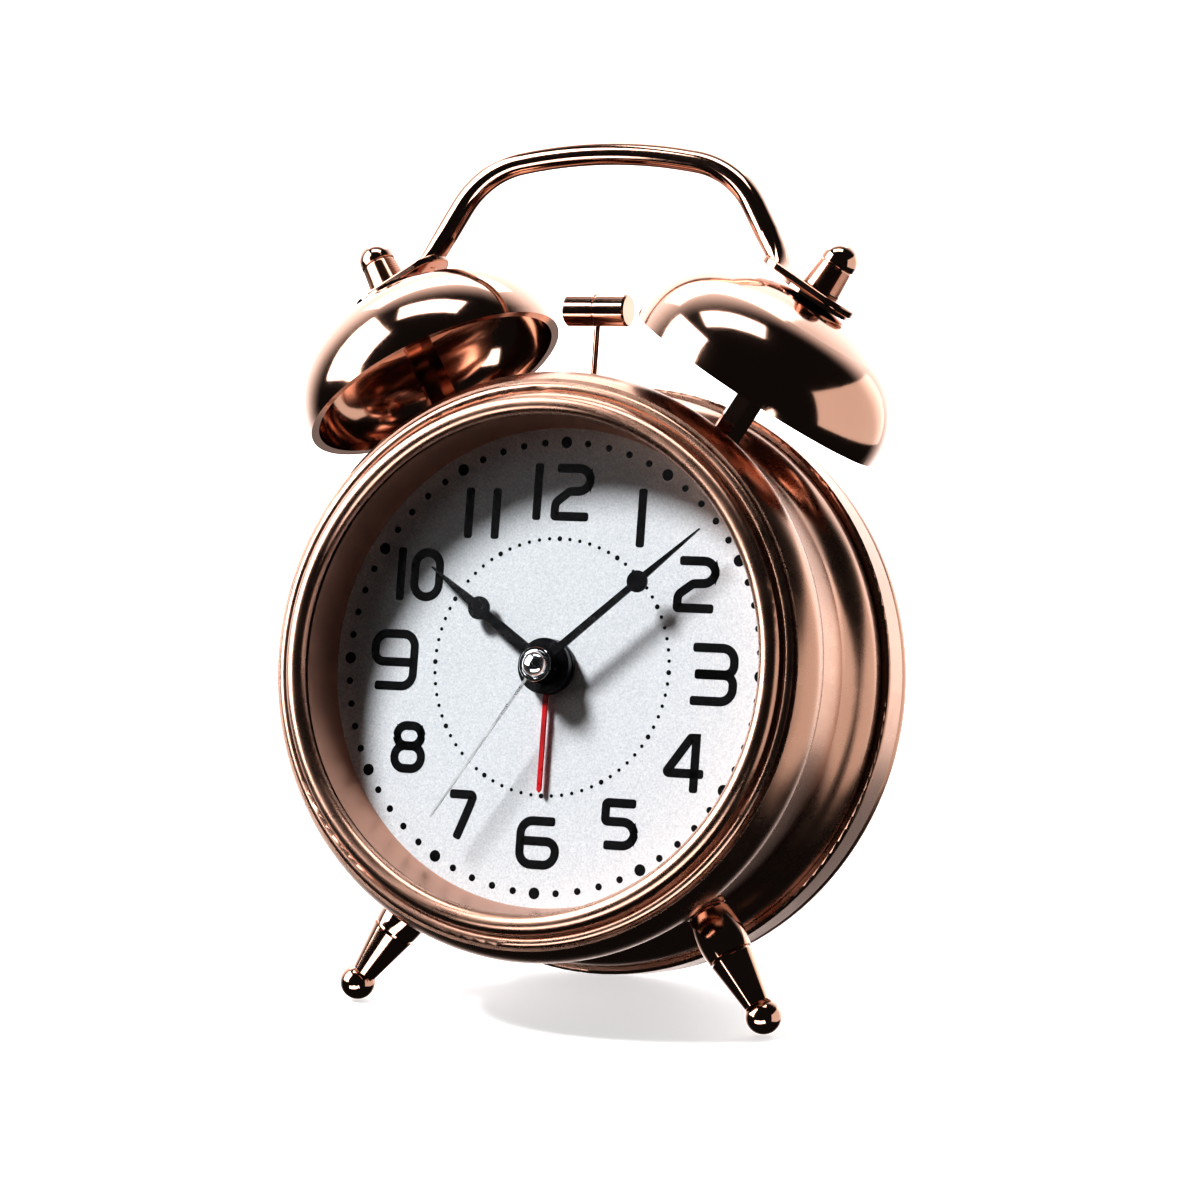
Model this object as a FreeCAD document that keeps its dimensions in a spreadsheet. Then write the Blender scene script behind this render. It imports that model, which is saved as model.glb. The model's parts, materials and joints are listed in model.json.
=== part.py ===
import FreeCAD, Part
import math
import os

import Sketcher
from FreeCAD import Placement, Rotation, Vector

# Twin-bell alarm clock.
#
# Clock frame, in which every piece is drawn: origin at the centre of the dial's front face, X to the right
# of someone reading the dial, Y into the clock, Z towards 12.  The finished clock leans back on two ball
# feet and the bottom of its rear rim, so a last placement, "standing", turns the clock frame about X and
# sets the origin on the table under the middle of the clock.

DIMENSIONS = {
    "front ring": {
        "bezel_seat_radius": 50.9, "bezel_inner_radius": 49.7, "bezel_back": 2.5,
        "bezel_band_front": -8.3, "bezel_band_arc": 8.2, "bezel_groove_radius": 50.2,
        "bezel_groove_back": -8.0, "bezel_step_front": -9.0, "bezel_step_inner": 48.4,
        "bezel_step_arc": 1.25, "bezel_roll_outer": 48.1, "bezel_lip_radius": 44.3,
        "bezel_roll_front": -10.2, "bezel_roll_arc": 1.95,
        "lens_radius": 46.8, "lens_front": -9.9, "lens_thickness": 1.0,
        "gasket_inner": 45.9, "reflector_flange_front": -8.2, "reflector_wall": 0.7,
        "reflector_front_radius": 44.5,
    },
    "dial": {
        "dial_opening": 43.1, "dial_radius": 47.0, "dial_thickness": 0.8, "dial_hole": 3.2,
        "carrier_radius": 48.3, "carrier_thickness": 1.8,
    },
    "drum": {
        "drum_radius": 49.5, "drum_wall": 1.0, "drum_front": -6.6, "drum_flare_start": 16.5,
        "drum_flare_end": 24.5, "drum_flare_radius": 53.0, "drum_back": 30.0,
        "slot_half_length": 4.0, "slot_half_width": 1.5,
    },
    "rear rim": {
        "rim_front": 27.2, "rim_radius": 54.5, "rim_band_back": 33.8, "rim_groove_radius": 53.9,
        "rim_groove_width": 0.7, "rim_corner": 0.6, "rim_bead_arc": 2.6,
        "rim_back": 38.0, "rim_back_radius": 53.4,
        "rim_inner_radius": 53.1, "rim_flange_inner": 50.4, "rim_flange_front": 37.0,
    },
    "legs": {
        "leg_depth": 12.4, "foot_side": 40.5, "foot_drop": 59.1, "foot_radius": 3.3,
        "foot_flat": 0.1,
        "leg_neck_radius": 2.35, "leg_ring_distance": 11.7, "leg_ring_radius": 4.05, "leg_groove": 0.35,
        "leg_barrel_top": 20.7, "leg_barrel_top_radius": 3.9, "leg_barrel_arc": 19.0,
        "leg_stud_radius": 2.0, "leg_stud_length": 5.5,
    },
    "bells": {
        "bell_angle": 31.7, "bell_depth": 9.4, "bell_rim_distance": 61.0, "bell_radius": 25.1,
        "bell_shoulder_arc": 15.0, "bell_shoulder_level": 1.5, "bell_height": 19.0, "bell_wall": 0.9,
        "bell_lip_width": 1.5, "bell_lip_height": 1.6, "bell_hole": 2.05,
        "post_across": 2.9, "post_stud_radius": 2.0, "post_stud_inside": 5.0,
        "washer_radius": 6.8, "washer_thickness": 0.7,
        "nut_radius": 3.6, "nut_top_radius": 3.2, "nut_barrel": 5.2, "nut_dome_radius": 3.3,
        "nut_dome_level": 6.1, "locknut_across": 3.9, "locknut_height": 2.2, "locknut_gap": 0.45,
        "post_gap": 0.3, "post_above_tongue": 4.5, "nut_foot": 0.6, "nut_depth": 4.6,
    },
    "handle": {
        "handle_rod_radius": 2.25, "handle_crown": 95.0, "handle_crown_arc": 95.0,
        "handle_shoulder_arc": 17.0, "handle_bend_arc": 7.0, "handle_leg_slope": 30.0,
        "handle_knee_distance": 8.0, "handle_flattening": 6.0,
        "tongue_thickness": 1.4, "tongue_half_width": 4.7, "tongue_outer_end": 7.5,
        "tongue_rounding": 0.3, "tongue_inner_end": 12.5,
    },
    "hammer": {
        "hammer_height": 66.0, "hammer_head_radius": 3.0, "hammer_head_length": 12.2,
        "hammer_chamfer": 0.35, "hammer_waist_groove": 0.22, "hammer_rod_radius": 0.55,
        "hammer_pivot_height": 30.0, "hammer_pivot_radius": 1.0, "rocker_thickness": 1.2,
        "rocker_boss_radius": 3.0, "rocker_tail": 9.0, "rocker_neck": 1.0, "rocker_arm": 1.6,
        "rocker_jaw": 1.5, "hammer_socket_depth": 1.6, "rod_seat": 2.5, "pivot_overhang": 2.2,
        "crank_height": 20.0, "crank_throw": 1.5, "crank_pin_radius": 0.6, "crank_pin_front": 10.35,
        "crank_wheel_middle": 11.5, "motor_front": 12.6, "motor_nose_radius": 1.6, "motor_nose_length": 0.4,
        "motor_shaft_radius": 0.5, "motor_shaft_front": 11.5, "motor_shaft_length": 8.4, "motor_wall": 0.6,
        "armature_radius": 4.4, "armature_gap": 1.2,
        "motor_radius": 6.0, "motor_length": 7.6, "motor_side": 6.9,
    },
    "hands": {
        "hour_hand_turn": 305.2, "minute_hand_turn": 49.3, "second_hand_turn": 213.7,
        "alarm_hand_turn": 180.0,
        "hour_hand_length": 29.6, "hour_spot_distance": 17.2, "hour_spot_radius": 2.1,
        "minute_hand_length": 38.6, "minute_spot_distance": 23.8, "minute_spot_radius": 1.95,
        "second_hand_length": 33.9, "alarm_hand_length": 22.6, "hub_radius": 5.0,
        "hour_root_half": 1.15, "hour_neck_half": 0.85, "hour_tip_half": 0.12,
        "minute_root_half": 0.75, "minute_neck_half": 0.6, "minute_tip_half": 0.1,
        "hour_blade_start": 2.0, "minute_blade_start": 1.0, "alarm_blade_start": 2.0,
        "alarm_blade_half": 0.42, "alarm_point_length": 0.5, "alarm_hub_thickness": 0.9,
        "second_root_half": 0.3, "second_tip_half": 0.17, "second_tail_length": 2.0,
        "second_hub_radius": 1.8, "second_hand_thickness": 0.25,
        "minute_hub_radius": 3.3, "cap_radius": 3.15, "cap_height": 2.1, "hand_thickness": 0.45,
        "alarm_hand_front": -1.3, "hour_hand_front": -2.3, "hour_hub_front": -3.1,
        "minute_hand_front": -5.3, "minute_hub_back": -4.3, "second_hand_front": -6.1,
    },
    "movement": {
        "plate_front": 2.7, "plate_back": 4.4, "plate_half_width": 29.0, "plate_top": 34.5,
        "plate_bottom": -20.5, "screw_side": 26.0, "screw_inset": 2.9,
        "housing_wall": 1.2, "housing_back": 22.0, "notch_half_width": 6.0, "notch_half_depth": 1.5,
        "bridge_front": 17.8, "bridge_back": 18.8,
        "arbor_radius": 0.4, "arbor_front": 3.2, "arbor_back": 18.4,
        "second_shaft_radius": 0.5, "minute_pipe_radius": 1.25, "hour_pipe_radius": 2.0,
        "alarm_pipe_radius": 2.8, "running_gap": 0.06,
        "rotor_radius": 1.6, "magnet_front": 15.2, "magnet_back": 17.4, "rotor_arbor_front": 13.8,
        "intermediate_front": 12.7, "centre_pipe_front": 9.9, "centre_pipe_back": 11.4,
        "board_front": 19.4, "board_thickness": 0.9,
        "crystal_radius": 0.8, "crystal_length": 6.0, "lamp_radius": 1.5, "lamp_length": 3.2,
        "lamp_side": -20.0, "lamp_front": 4.5, "lamp_height": 24.0,
        "coil_depth": 16.3, "coil_height": -15.5, "core_half": 0.9, "stator_thickness": 1.2,
        "bobbin_start": -12.0, "bobbin_length": 16.0, "bobbin_radius": 2.75, "bobbin_flange": 0.8,
        "bobbin_tube_radius": 1.75, "winding_radius": 2.6, "window_height": 2.9, "leg_height": 4.9,
        "stator_clearance": 0.9, "stator_leg_end": -4.6, "rotor_air_gap": 0.5,
    },
    "rear controls": {
        "cover_radius": 52.9, "cover_front": 35.2, "cover_back": 36.9,
        "knob_radius": 6.5, "knob_front": 37.9, "knob_back": 43.4, "knob_stem_radius": 1.0,
        "knob_hole_radius": 1.6, "knob_chamfer": 0.6, "knob_flutes": 18, "knob_flute_radius": 0.55,
        "button_side": 18.0, "button_height": 24.0, "button_radius": 4.0, "button_hole_radius": 4.3,
        "button_back": 40.2, "flange_radius": 4.9, "flange_thickness": 0.8, "flange_front": 34.1,
        "button_stem_front": 28.2, "button_stem_radius": 1.4, "dome_radius": 2.6, "button_travel": 1.5,
        "switch_side": -18.0, "switch_height": 20.0, "switch_half_width": 1.5,
        "switch_half_length": 3.0, "switch_travel": 4.0, "switch_back": 39.6,
        "switch_foot_front": 33.2, "switch_foot_back": 34.7,
        "grip_pitch": 1.4, "grip_width": 0.5, "grip_depth": 0.5,
        "battery_radius": 7.1, "battery_length": 49.2, "battery_height": -30.0, "battery_depth": 27.1,
        "nub_radius": 2.7, "nub_length": 1.2, "contact_half_width": 4.5, "spring_turns": 5,
        "spring_radius": 3.6, "spring_taper": 0.35, "spring_pitch": 0.45, "spring_wire_radius": 0.3,
        "tray_half_width": 28.5, "tray_half_height": 8.4, "tray_front": 18.6, "tray_wall": 1.0,
        "door_half_width": 27.2, "door_half_height": 6.7, "door_gap": 0.35,
        "rib_side": 16.0, "rib_width": 1.0, "rib_half_height": 3.5, "rib_proud": 0.5,
        "pillar_radius": 2.6, "boss_length": 7.0, "screw_length": 6.0, "screw_sunk": 0.05,
        "cover_screw_front": 29.0, "cover_screw_length": 8.0, "screw_head_height": 1.0,
        "cross_half_length": 1.3, "cross_half_width": 0.25, "cross_depth": 0.5,
        "screw_head_radius": 2.2, "screw_radius": 1.1,
    },
}

GEAR_TRAIN = {  # name: (teeth, module, depth of its front, depth of its back)
    "alarm_wheel": (30, 0.40, 6.0, 6.8), "alarm_knob_gear": (40, 0.40, 6.0, 6.8),
    "hour_wheel": (40, 0.336, 7.2, 8.0), "motion_pinion": (10, 0.336, 7.1, 8.7),
    "motion_wheel": (36, 0.35, 8.7, 9.5), "cannon_gear": (12, 0.35, 8.6, 9.6),
    "time_knob_gear": (12, 0.35, 8.6, 9.6),
    "centre_wheel": (60, 0.25, 10.4, 11.0), "third_pinion": (8, 0.25, 10.3, 11.8),
    "third_wheel": (64, 17.0 / 72, 11.8, 12.4), "second_pinion": (8, 17.0 / 72, 11.7, 13.0),
    "second_wheel": (40, 0.25, 13.0, 13.6), "intermediate_pinion": (8, 0.25, 12.9, 14.2),
    "intermediate_wheel": (48, 0.20, 14.2, 14.8), "rotor_pinion": (8, 0.20, 14.1, 14.9),
    "crank_wheel": (36, 0.30, 11.0, 12.0), "motor_gear": (10, 0.30, 10.9, 11.9),
}
TOOTH_TIP, TOOTH_FOOT = 0.75, -1.1  # modules outside the pitch circle
TOOTH_CORNERS = ((TOOTH_FOOT, -0.25), (TOOTH_TIP, -0.09), (TOOTH_TIP, 0.09), (TOOTH_FOOT, 0.25))
FIT = 0.1  # play of a stud in its hole, on the radius
TOUCH = 0.02  # gap between faces that are drawn touching

document = FreeCAD.newDocument("alarm_clock")
sheet = document.addObject("Spreadsheet::Sheet", "Sizes")
parts = {}


class Size:
    """A number together with the sheet expression that gives it."""

    def __init__(self, value, text):
        self.value = value
        self.text = text

    def joined(self, sign, other, value):
        return Size(value, "(%s %s %s)" % (self.text, sign, as_size(other).text))

    def __add__(self, other):
        return self.joined("+", other, self.value + as_size(other).value)

    def __sub__(self, other):
        return self.joined("-", other, self.value - as_size(other).value)

    def __mul__(self, other):
        return self.joined("*", other, self.value * as_size(other).value)

    def __truediv__(self, other):
        return self.joined("/", other, self.value / as_size(other).value)

    def __rsub__(self, other):
        return as_size(other) - self

    def __neg__(self):
        return self * -1

    def __float__(self):
        return self.value

    __radd__ = __add__
    __rmul__ = __mul__


def as_size(number):
    return number if isinstance(number, Size) else Size(float(number), repr(float(number)))


def root(size):
    """Square root of a size."""
    return Size(math.sqrt(size.value), "sqrt(%s)" % size.text)


def fill_sheet():
    """Write every driving dimension to the sheet and return them by name."""
    sizes = {}
    row = 1
    for group, entries in DIMENSIONS.items():
        sheet.set("A%d" % row, group)
        row += 1
        for name, value in entries.items():
            sheet.set("A%d" % row, name)
            sheet.set("B%d" % row, str(value))
            sheet.setAlias("B%d" % row, name)
            sizes[name] = Size(float(value), "Sizes.%s" % name)
            row += 1
    document.recompute()
    return sizes


S = fill_sheet()


def number(name):
    return float(sheet.get(name))


def bind(thing, prop, size):
    """Set a property and tie it to the sheet."""
    size = as_size(size)
    if "Sizes." in size.text:
        thing.setExpression(prop, size.text)
    else:
        setattr(thing, prop, size.value)


def keep(name, thing, placement=None):
    """Register a finished sub-part under its own name."""
    thing.Label = name
    if placement is not None:
        thing.Placement = placement
    parts[name] = thing
    return thing


def radial(angle, depth, distance=0.0):
    """Placement whose local Z points away from the drum's axis, at an angle clockwise from 12."""
    turn = Rotation(Vector(0, 1, 0), angle)
    return Placement(Vector(0, depth, 0) + turn.multVec(Vector(0, 0, distance)), turn)


def at(x, y, z):
    return Placement(Vector(x, y, z), Rotation())


ALONG_Y = Rotation(Vector(1, 0, 0), -90)


def along_y(x, y, z):
    """Placement that lays a piece's local Z along the clock's Y."""
    return Placement(Vector(x, y, z), ALONG_Y)


def across(x, y, z):
    """Placement that lays a piece's local Z along the clock's X."""
    return Placement(Vector(x, y, z), Rotation(Vector(0, 1, 0), 90))


# ---- drawing helpers -----------------------------------------------------------------------------------

def arc_centre(p, q, radius):
    """Centre of the short arc from p to q that turns left for a positive radius."""
    chord = q - p
    left = Vector(-chord.y, chord.x, 0).normalize()
    rise = math.sqrt(radius ** 2 - (chord.Length / 2) ** 2)
    return (p + q) * 0.5 + left * math.copysign(rise, radius)


def add_segment(sketch, start, end, radius):
    """Add a line, or an arc that turns left for a positive radius; return its ends' point numbers."""
    p = Vector(float(start[0]), float(start[1]), 0)
    q = Vector(float(end[0]), float(end[1]), 0)
    if radius is None:
        return sketch.addGeometry(Part.LineSegment(p, q), False), 1, 2
    size = abs(float(radius))
    side = 1 if float(radius) > 0 else -1
    centre = arc_centre(p, q, float(radius))
    first, last = (p, q) if side > 0 else (q, p)
    start_angle = math.atan2(first.y - centre.y, first.x - centre.x)
    end_angle = math.atan2(last.y - centre.y, last.x - centre.x)
    circle = Part.Circle(centre, Vector(0, 0, 1), size)
    arc = sketch.addGeometry(Part.ArcOfCircle(circle, start_angle, end_angle), False)
    index = sketch.addConstraint(Sketcher.Constraint("Radius", arc, size))
    if isinstance(radius, Size):
        sketch.setExpression("Constraints[%d]" % index, (radius * side).text)
    return (arc, 1, 2) if side > 0 else (arc, 2, 1)


def pin_point(sketch, geometry, point, place):
    """Tie a sketch point's two coordinates to the sheet."""
    for kind, size in zip(("DistanceX", "DistanceY"), place):
        size = as_size(size)
        index = sketch.addConstraint(Sketcher.Constraint(kind, -1, 1, geometry, point, size.value))
        if "Sizes." in size.text:
            sketch.setExpression("Constraints[%d]" % index, size.text)


def draw_outline(sketch, outline):
    """Closed outline of points (u, v) or (u, v, radius of the arc to the next point)."""
    count = len(outline)
    segments = []
    for index, corner in enumerate(outline):
        radius = corner[2] if len(corner) > 2 else None
        segments.append(add_segment(sketch, corner, outline[(index + 1) % count], radius))
    for index, (geometry, start, end) in enumerate(segments):
        following = segments[(index + 1) % count]
        joint = Sketcher.Constraint("Coincident", geometry, end, following[0], following[1])
        sketch.addConstraint(joint)
        pin_point(sketch, geometry, start, outline[index][:2])


def draw_circle(sketch, centre, radius):
    circle = Part.Circle(Vector(float(centre[0]), float(centre[1]), 0), Vector(0, 0, 1), float(radius))
    geometry = sketch.addGeometry(circle, False)
    index = sketch.addConstraint(Sketcher.Constraint("Radius", geometry, float(radius)))
    if isinstance(radius, Size):
        sketch.setExpression("Constraints[%d]" % index, radius.text)
    pin_point(sketch, geometry, 3, centre)


def new_sketch(body, plane):
    """Sketch attached to one of the body's own origin planes."""
    support = [item for item in body.Origin.OriginFeatures if item.Role == plane][0]
    sketch = body.newObject("Sketcher::SketchObject", body.Name + "_sketch")
    sketch.AttachmentSupport = [(support, "")]
    sketch.MapMode = "FlatFace"
    return sketch


def revolved(name, outline, about="Y"):
    """Body turned about Y from an (r, y) outline, or about its local Z from an (r, z) outline."""
    body = document.addObject("PartDesign::Body", name + "_body")
    sketch = new_sketch(body, "XY_Plane" if about == "Y" else "XZ_Plane")
    draw_outline(sketch, outline)
    turned = body.newObject("PartDesign::Revolution", name + "_turned")
    turned.Profile = sketch
    turned.ReferenceAxis = (sketch, ["V_Axis"])
    turned.Angle = 360
    return body


def plate(name, outline, front, back, holes=()):
    """Body of even thickness between two depths, from an (x, z) outline and round holes (x, z, r)."""
    body = document.addObject("PartDesign::Body", name + "_body")
    sketch = new_sketch(body, "XZ_Plane")
    if len(outline) == 3 and not isinstance(outline[0], tuple):
        draw_circle(sketch, outline[:2], outline[2])
    else:
        draw_outline(sketch, outline)
    for hole in holes:
        draw_circle(sketch, hole[:2], hole[2])
    pad = body.newObject("PartDesign::Pad", name + "_pad")
    pad.Profile = sketch
    bind(pad, "Length", as_size(back) - front)
    bind(sketch, "AttachmentOffset.Base.z", as_size(back) * -1)
    return body


def cylinder(name, radius, height, placement):
    item = document.addObject("Part::Cylinder", name)
    bind(item, "Radius", radius)
    bind(item, "Height", height)
    item.Placement = placement
    return item


def prism(name, across, height, placement):
    """Hexagonal bar, given its distance from centre to corner."""
    item = document.addObject("Part::Prism", name)
    item.Polygon = 6
    bind(item, "Circumradius", across)
    bind(item, "Height", height)
    item.Placement = placement
    return item


def block(name, lowest, highest):
    """Box between two corners."""
    item = document.addObject("Part::Box", name)
    for prop, low, high in zip(("Length", "Width", "Height"), lowest, highest):
        bind(item, prop, as_size(high) - low)
    item.Placement = at(*[float(low) for low in lowest])
    return item


def fuse(name, pieces):
    item = document.addObject("Part::MultiFuse", name + "_fused")
    item.Shapes = pieces
    return item


def cut(name, base, tools):
    item = document.addObject("Part::Cut", name + "_cut")
    item.Base = base
    item.Tool = tools[0] if len(tools) == 1 else fuse(name + "_tools", tools)
    return item


def group(name, pieces):
    item = document.addObject("Part::Compound", name + "_group")
    item.Links = pieces
    return item


def solid(name, shape):
    """Feature for a shape made with Part's own functions."""
    item = document.addObject("Part::Feature", name + "_shape")
    item.Shape = shape
    return item


def rod(x, z, radius, front, back):
    """Plain round solid along Y."""
    return Part.makeCylinder(radius, back - front, Vector(x, front, z), Vector(0, 1, 0))


def rectangle(half_width, low, high, middle=0.0):
    return [(middle - half_width, low), (middle + half_width, low),
            (middle + half_width, high), (middle - half_width, high)]


# ---- front of the case ---------------------------------------------------------------------------------

def make_front():
    keep("front_bezel", revolved("front_bezel", [
        (S["bezel_inner_radius"], S["bezel_back"]),
        (S["bezel_inner_radius"], S["bezel_groove_back"] + 0.2),
        (S["lens_radius"] + 0.2, S["bezel_groove_back"] + 0.2),
        (S["lens_radius"] + 0.2, S["lens_front"]),
        (S["bezel_lip_radius"], S["lens_front"]),
        (S["bezel_lip_radius"], S["bezel_roll_front"], S["bezel_roll_arc"]),
        (S["bezel_roll_outer"], S["bezel_roll_front"]),
        (S["bezel_roll_outer"], S["bezel_step_front"] - 0.1),
        (S["bezel_step_inner"], S["bezel_step_front"] - 0.1, S["bezel_step_arc"]),
        (S["bezel_groove_radius"], S["bezel_step_front"]),
        (S["bezel_groove_radius"], S["bezel_band_front"]),
        (S["bezel_seat_radius"], S["bezel_band_front"], S["bezel_band_arc"]),
        (S["bezel_seat_radius"], S["bezel_back"]),
    ]))
    lens_back = S["lens_front"] + S["lens_thickness"]
    keep("lens", plate("lens", (0, 0, S["lens_radius"]), S["lens_front"], lens_back))
    keep("lens_gasket", revolved("lens_gasket", [
        (S["gasket_inner"], lens_back), (S["lens_radius"], lens_back),
        (S["lens_radius"], S["reflector_flange_front"]),
        (S["gasket_inner"], S["reflector_flange_front"])]))
    flange_back = S["reflector_flange_front"] + S["reflector_wall"]
    keep("reflector_ring", revolved("reflector_ring", [
        (S["reflector_front_radius"], lens_back + 0.1), (S["reflector_front_radius"] + 1.1, lens_back + 0.1),
        (S["reflector_front_radius"] + 1.1, S["reflector_flange_front"]),
        (S["lens_radius"], S["reflector_flange_front"]), (S["lens_radius"], flange_back),
        (S["reflector_front_radius"] + S["reflector_wall"], flange_back),
        (S["dial_opening"] + S["reflector_wall"], 0), (S["dial_opening"], 0)]))
    keep("dial", plate("dial", (0, 0, S["dial_radius"]), 0, S["dial_thickness"],
                       [(0, 0, S["dial_hole"])]))
    keep("dial_carrier", plate("dial_carrier", (0, 0, S["carrier_radius"]), S["dial_thickness"],
                               S["dial_thickness"] + S["carrier_thickness"], [(0, 0, S["dial_hole"])]))


# ---- drum, rear rim, legs ------------------------------------------------------------------------------

def leg_angle(side):
    """Angle clockwise from 12 of a leg; side is -1 for the left one and +1 for the right one."""
    return 180 - side * math.degrees(math.atan2(number("foot_side"), number("foot_drop")))


def make_drum():
    rise = S["drum_flare_radius"] - S["drum_radius"]
    run = S["drum_flare_end"] - S["drum_flare_start"]
    flare_arc = (rise * rise + run * run) / (rise * 4)
    middle_radius = (S["drum_flare_radius"] + S["drum_radius"]) / 2
    middle_depth = (S["drum_flare_start"] + S["drum_flare_end"]) / 2
    wall = S["drum_wall"]
    shell = revolved("case_drum", [
        (S["drum_radius"] - wall, S["drum_front"]), (S["drum_radius"], S["drum_front"]),
        (S["drum_radius"], S["drum_flare_start"], -flare_arc), (middle_radius, middle_depth, flare_arc),
        (S["drum_flare_radius"], S["drum_flare_end"]), (S["drum_flare_radius"], S["drum_back"]),
        (S["drum_flare_radius"] - wall, S["drum_back"]),
        (S["drum_flare_radius"] - wall, S["drum_flare_end"], -flare_arc),
        (middle_radius - wall, middle_depth, flare_arc),
        (S["drum_radius"] - wall, S["drum_flare_start"])])
    depth = number("bell_depth")
    through = 6
    inside = number("drum_radius") - through / 2
    half_length, half_width = S["slot_half_length"], S["slot_half_width"]
    tools = [block("hammer_slot", (-half_length, S["bell_depth"] - half_width, inside),
                   (half_length, S["bell_depth"] + half_width, inside + through))]
    for side, word in ((-1, "left"), (1, "right")):
        post = radial(side * number("bell_angle"), depth, inside)
        leg = radial(leg_angle(side), number("leg_depth"), inside)
        tools.append(cylinder(word + "_post_hole", S["post_stud_radius"] + FIT, through, post))
        tools.append(cylinder(word + "_leg_hole", S["leg_stud_radius"] + FIT, through, leg))
    keep("case_drum", cut("case_drum", shell, tools))

    groove_end = S["rim_band_back"] + S["rim_groove_width"]
    corner = S["rim_corner"]
    keep("rear_rim", revolved("rear_rim", [
        (S["rim_inner_radius"], S["rim_front"]), (S["rim_radius"] - corner, S["rim_front"], corner * 1.4),
        (S["rim_radius"], S["rim_front"] + corner), (S["rim_radius"], S["rim_band_back"]),
        (S["rim_groove_radius"], S["rim_band_back"]), (S["rim_groove_radius"], groove_end,
                                                       S["rim_bead_arc"]),
        (S["rim_back_radius"], S["rim_back"]), (S["rim_flange_inner"], S["rim_back"]),
        (S["rim_flange_inner"], S["rim_flange_front"]), (S["rim_inner_radius"], S["rim_flange_front"])]))


def make_legs(standing):
    """Turned legs with a ball foot; each ball has a small flat to stand on."""
    reach = math.hypot(number("foot_side"), number("foot_drop"))
    collar_end = as_size(reach) - S["drum_radius"] - TOUCH
    ball = S["foot_radius"]
    neck = S["leg_neck_radius"]
    neck_level = root(ball * ball - neck * neck)
    ring = S["leg_ring_radius"]
    groove = S["leg_groove"]
    ring_level = S["leg_ring_distance"]
    top = S["leg_barrel_top"]
    top_radius = S["leg_barrel_top_radius"]
    outline = [
        (0, -ball, ball), (ball, 0, ball), (neck, neck_level), (ring, ring_level),
        (ring - groove, ring_level + groove * 0.5), (ring - groove, ring_level + groove * 1.5),
        (ring + 0.05, ring_level + groove * 2, S["leg_barrel_arc"]),
        (top_radius, top), (top_radius - groove, top + groove * 0.5),
        (top_radius - groove, top + groove * 1.5), (top_radius, top + groove * 2),
        (top_radius, collar_end), (S["leg_stud_radius"], collar_end),
        (S["leg_stud_radius"], collar_end + S["leg_stud_length"]), (0, collar_end + S["leg_stud_length"])]
    for side, word in ((-1, "left"), (1, "right")):
        angle = leg_angle(side)
        leg = revolved(word + "_leg", outline, about="Z")
        foot = radial(angle, number("leg_depth"), reach)
        leg.Placement = foot.multiply(Placement(Vector(), Rotation(Vector(0, 1, 0), 180)))
        table = block(word + "_table", (-100, -100, -20), (100, 100, 0))
        table.Placement = standing.inverse().multiply(table.Placement)
        keep(word + "_leg", cut(word + "_leg", leg, [table]))


def make_case_nuts():
    """The four equal nuts inside the drum that hold the legs and the bell posts."""
    seat = number("drum_radius") - number("drum_wall") - number("locknut_height") - number("locknut_gap")
    nuts = []
    for side in (-1, 1):
        for kind, angle, depth in (("leg", leg_angle(side), number("leg_depth")),
                                   ("post", side * number("bell_angle"), number("bell_depth"))):
            word = "%s_nut_%d" % (kind, side)
            place = radial(angle, depth, seat)
            nut = prism(word, S["locknut_across"], S["locknut_height"], place)
            bore = cylinder(word + "_bore", S["post_stud_radius"], S["locknut_height"], place)
            nuts.append(cut(word, nut, [bore]))
    keep("case_nuts", group("case_nuts", nuts))


# ---- bells ---------------------------------------------------------------------------------------------

def bell_outline():
    """Pressed bell: shoulder arc, crown arc tangent to it, even wall and a thick lip at the rim."""
    wall = S["bell_wall"]
    shoulder = S["bell_shoulder_arc"]
    level = S["bell_shoulder_level"]
    centre = S["bell_radius"] - shoulder
    drop = S["bell_height"] - level
    crown = (centre * centre + drop * drop - shoulder * shoulder) / ((drop - shoulder) * 2)
    share = crown / (crown - shoulder)
    crown_centre = S["bell_height"] - crown
    inner_share = (crown - wall) / (crown - shoulder)
    hole = S["bell_hole"]
    rim = centre + root(shoulder * shoulder - level * level)
    inner = shoulder - wall
    lip = S["bell_lip_height"]
    lip_radius = centre + root(inner * inner - (lip - level) * (lip - level))

    def crown_level(radius):
        return crown_centre + root(radius * radius - hole * hole)

    return [
        (rim, 0, shoulder),
        (centre * share, crown_centre + (level - crown_centre) * share, crown),
        (hole, crown_level(crown)), (hole, crown_level(crown - wall), -(crown - wall)),
        (centre * inner_share, crown_centre + (level - crown_centre) * inner_share, -inner),
        (lip_radius, lip), (rim - S["bell_lip_width"], lip), (rim - S["bell_lip_width"], 0)]


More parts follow.
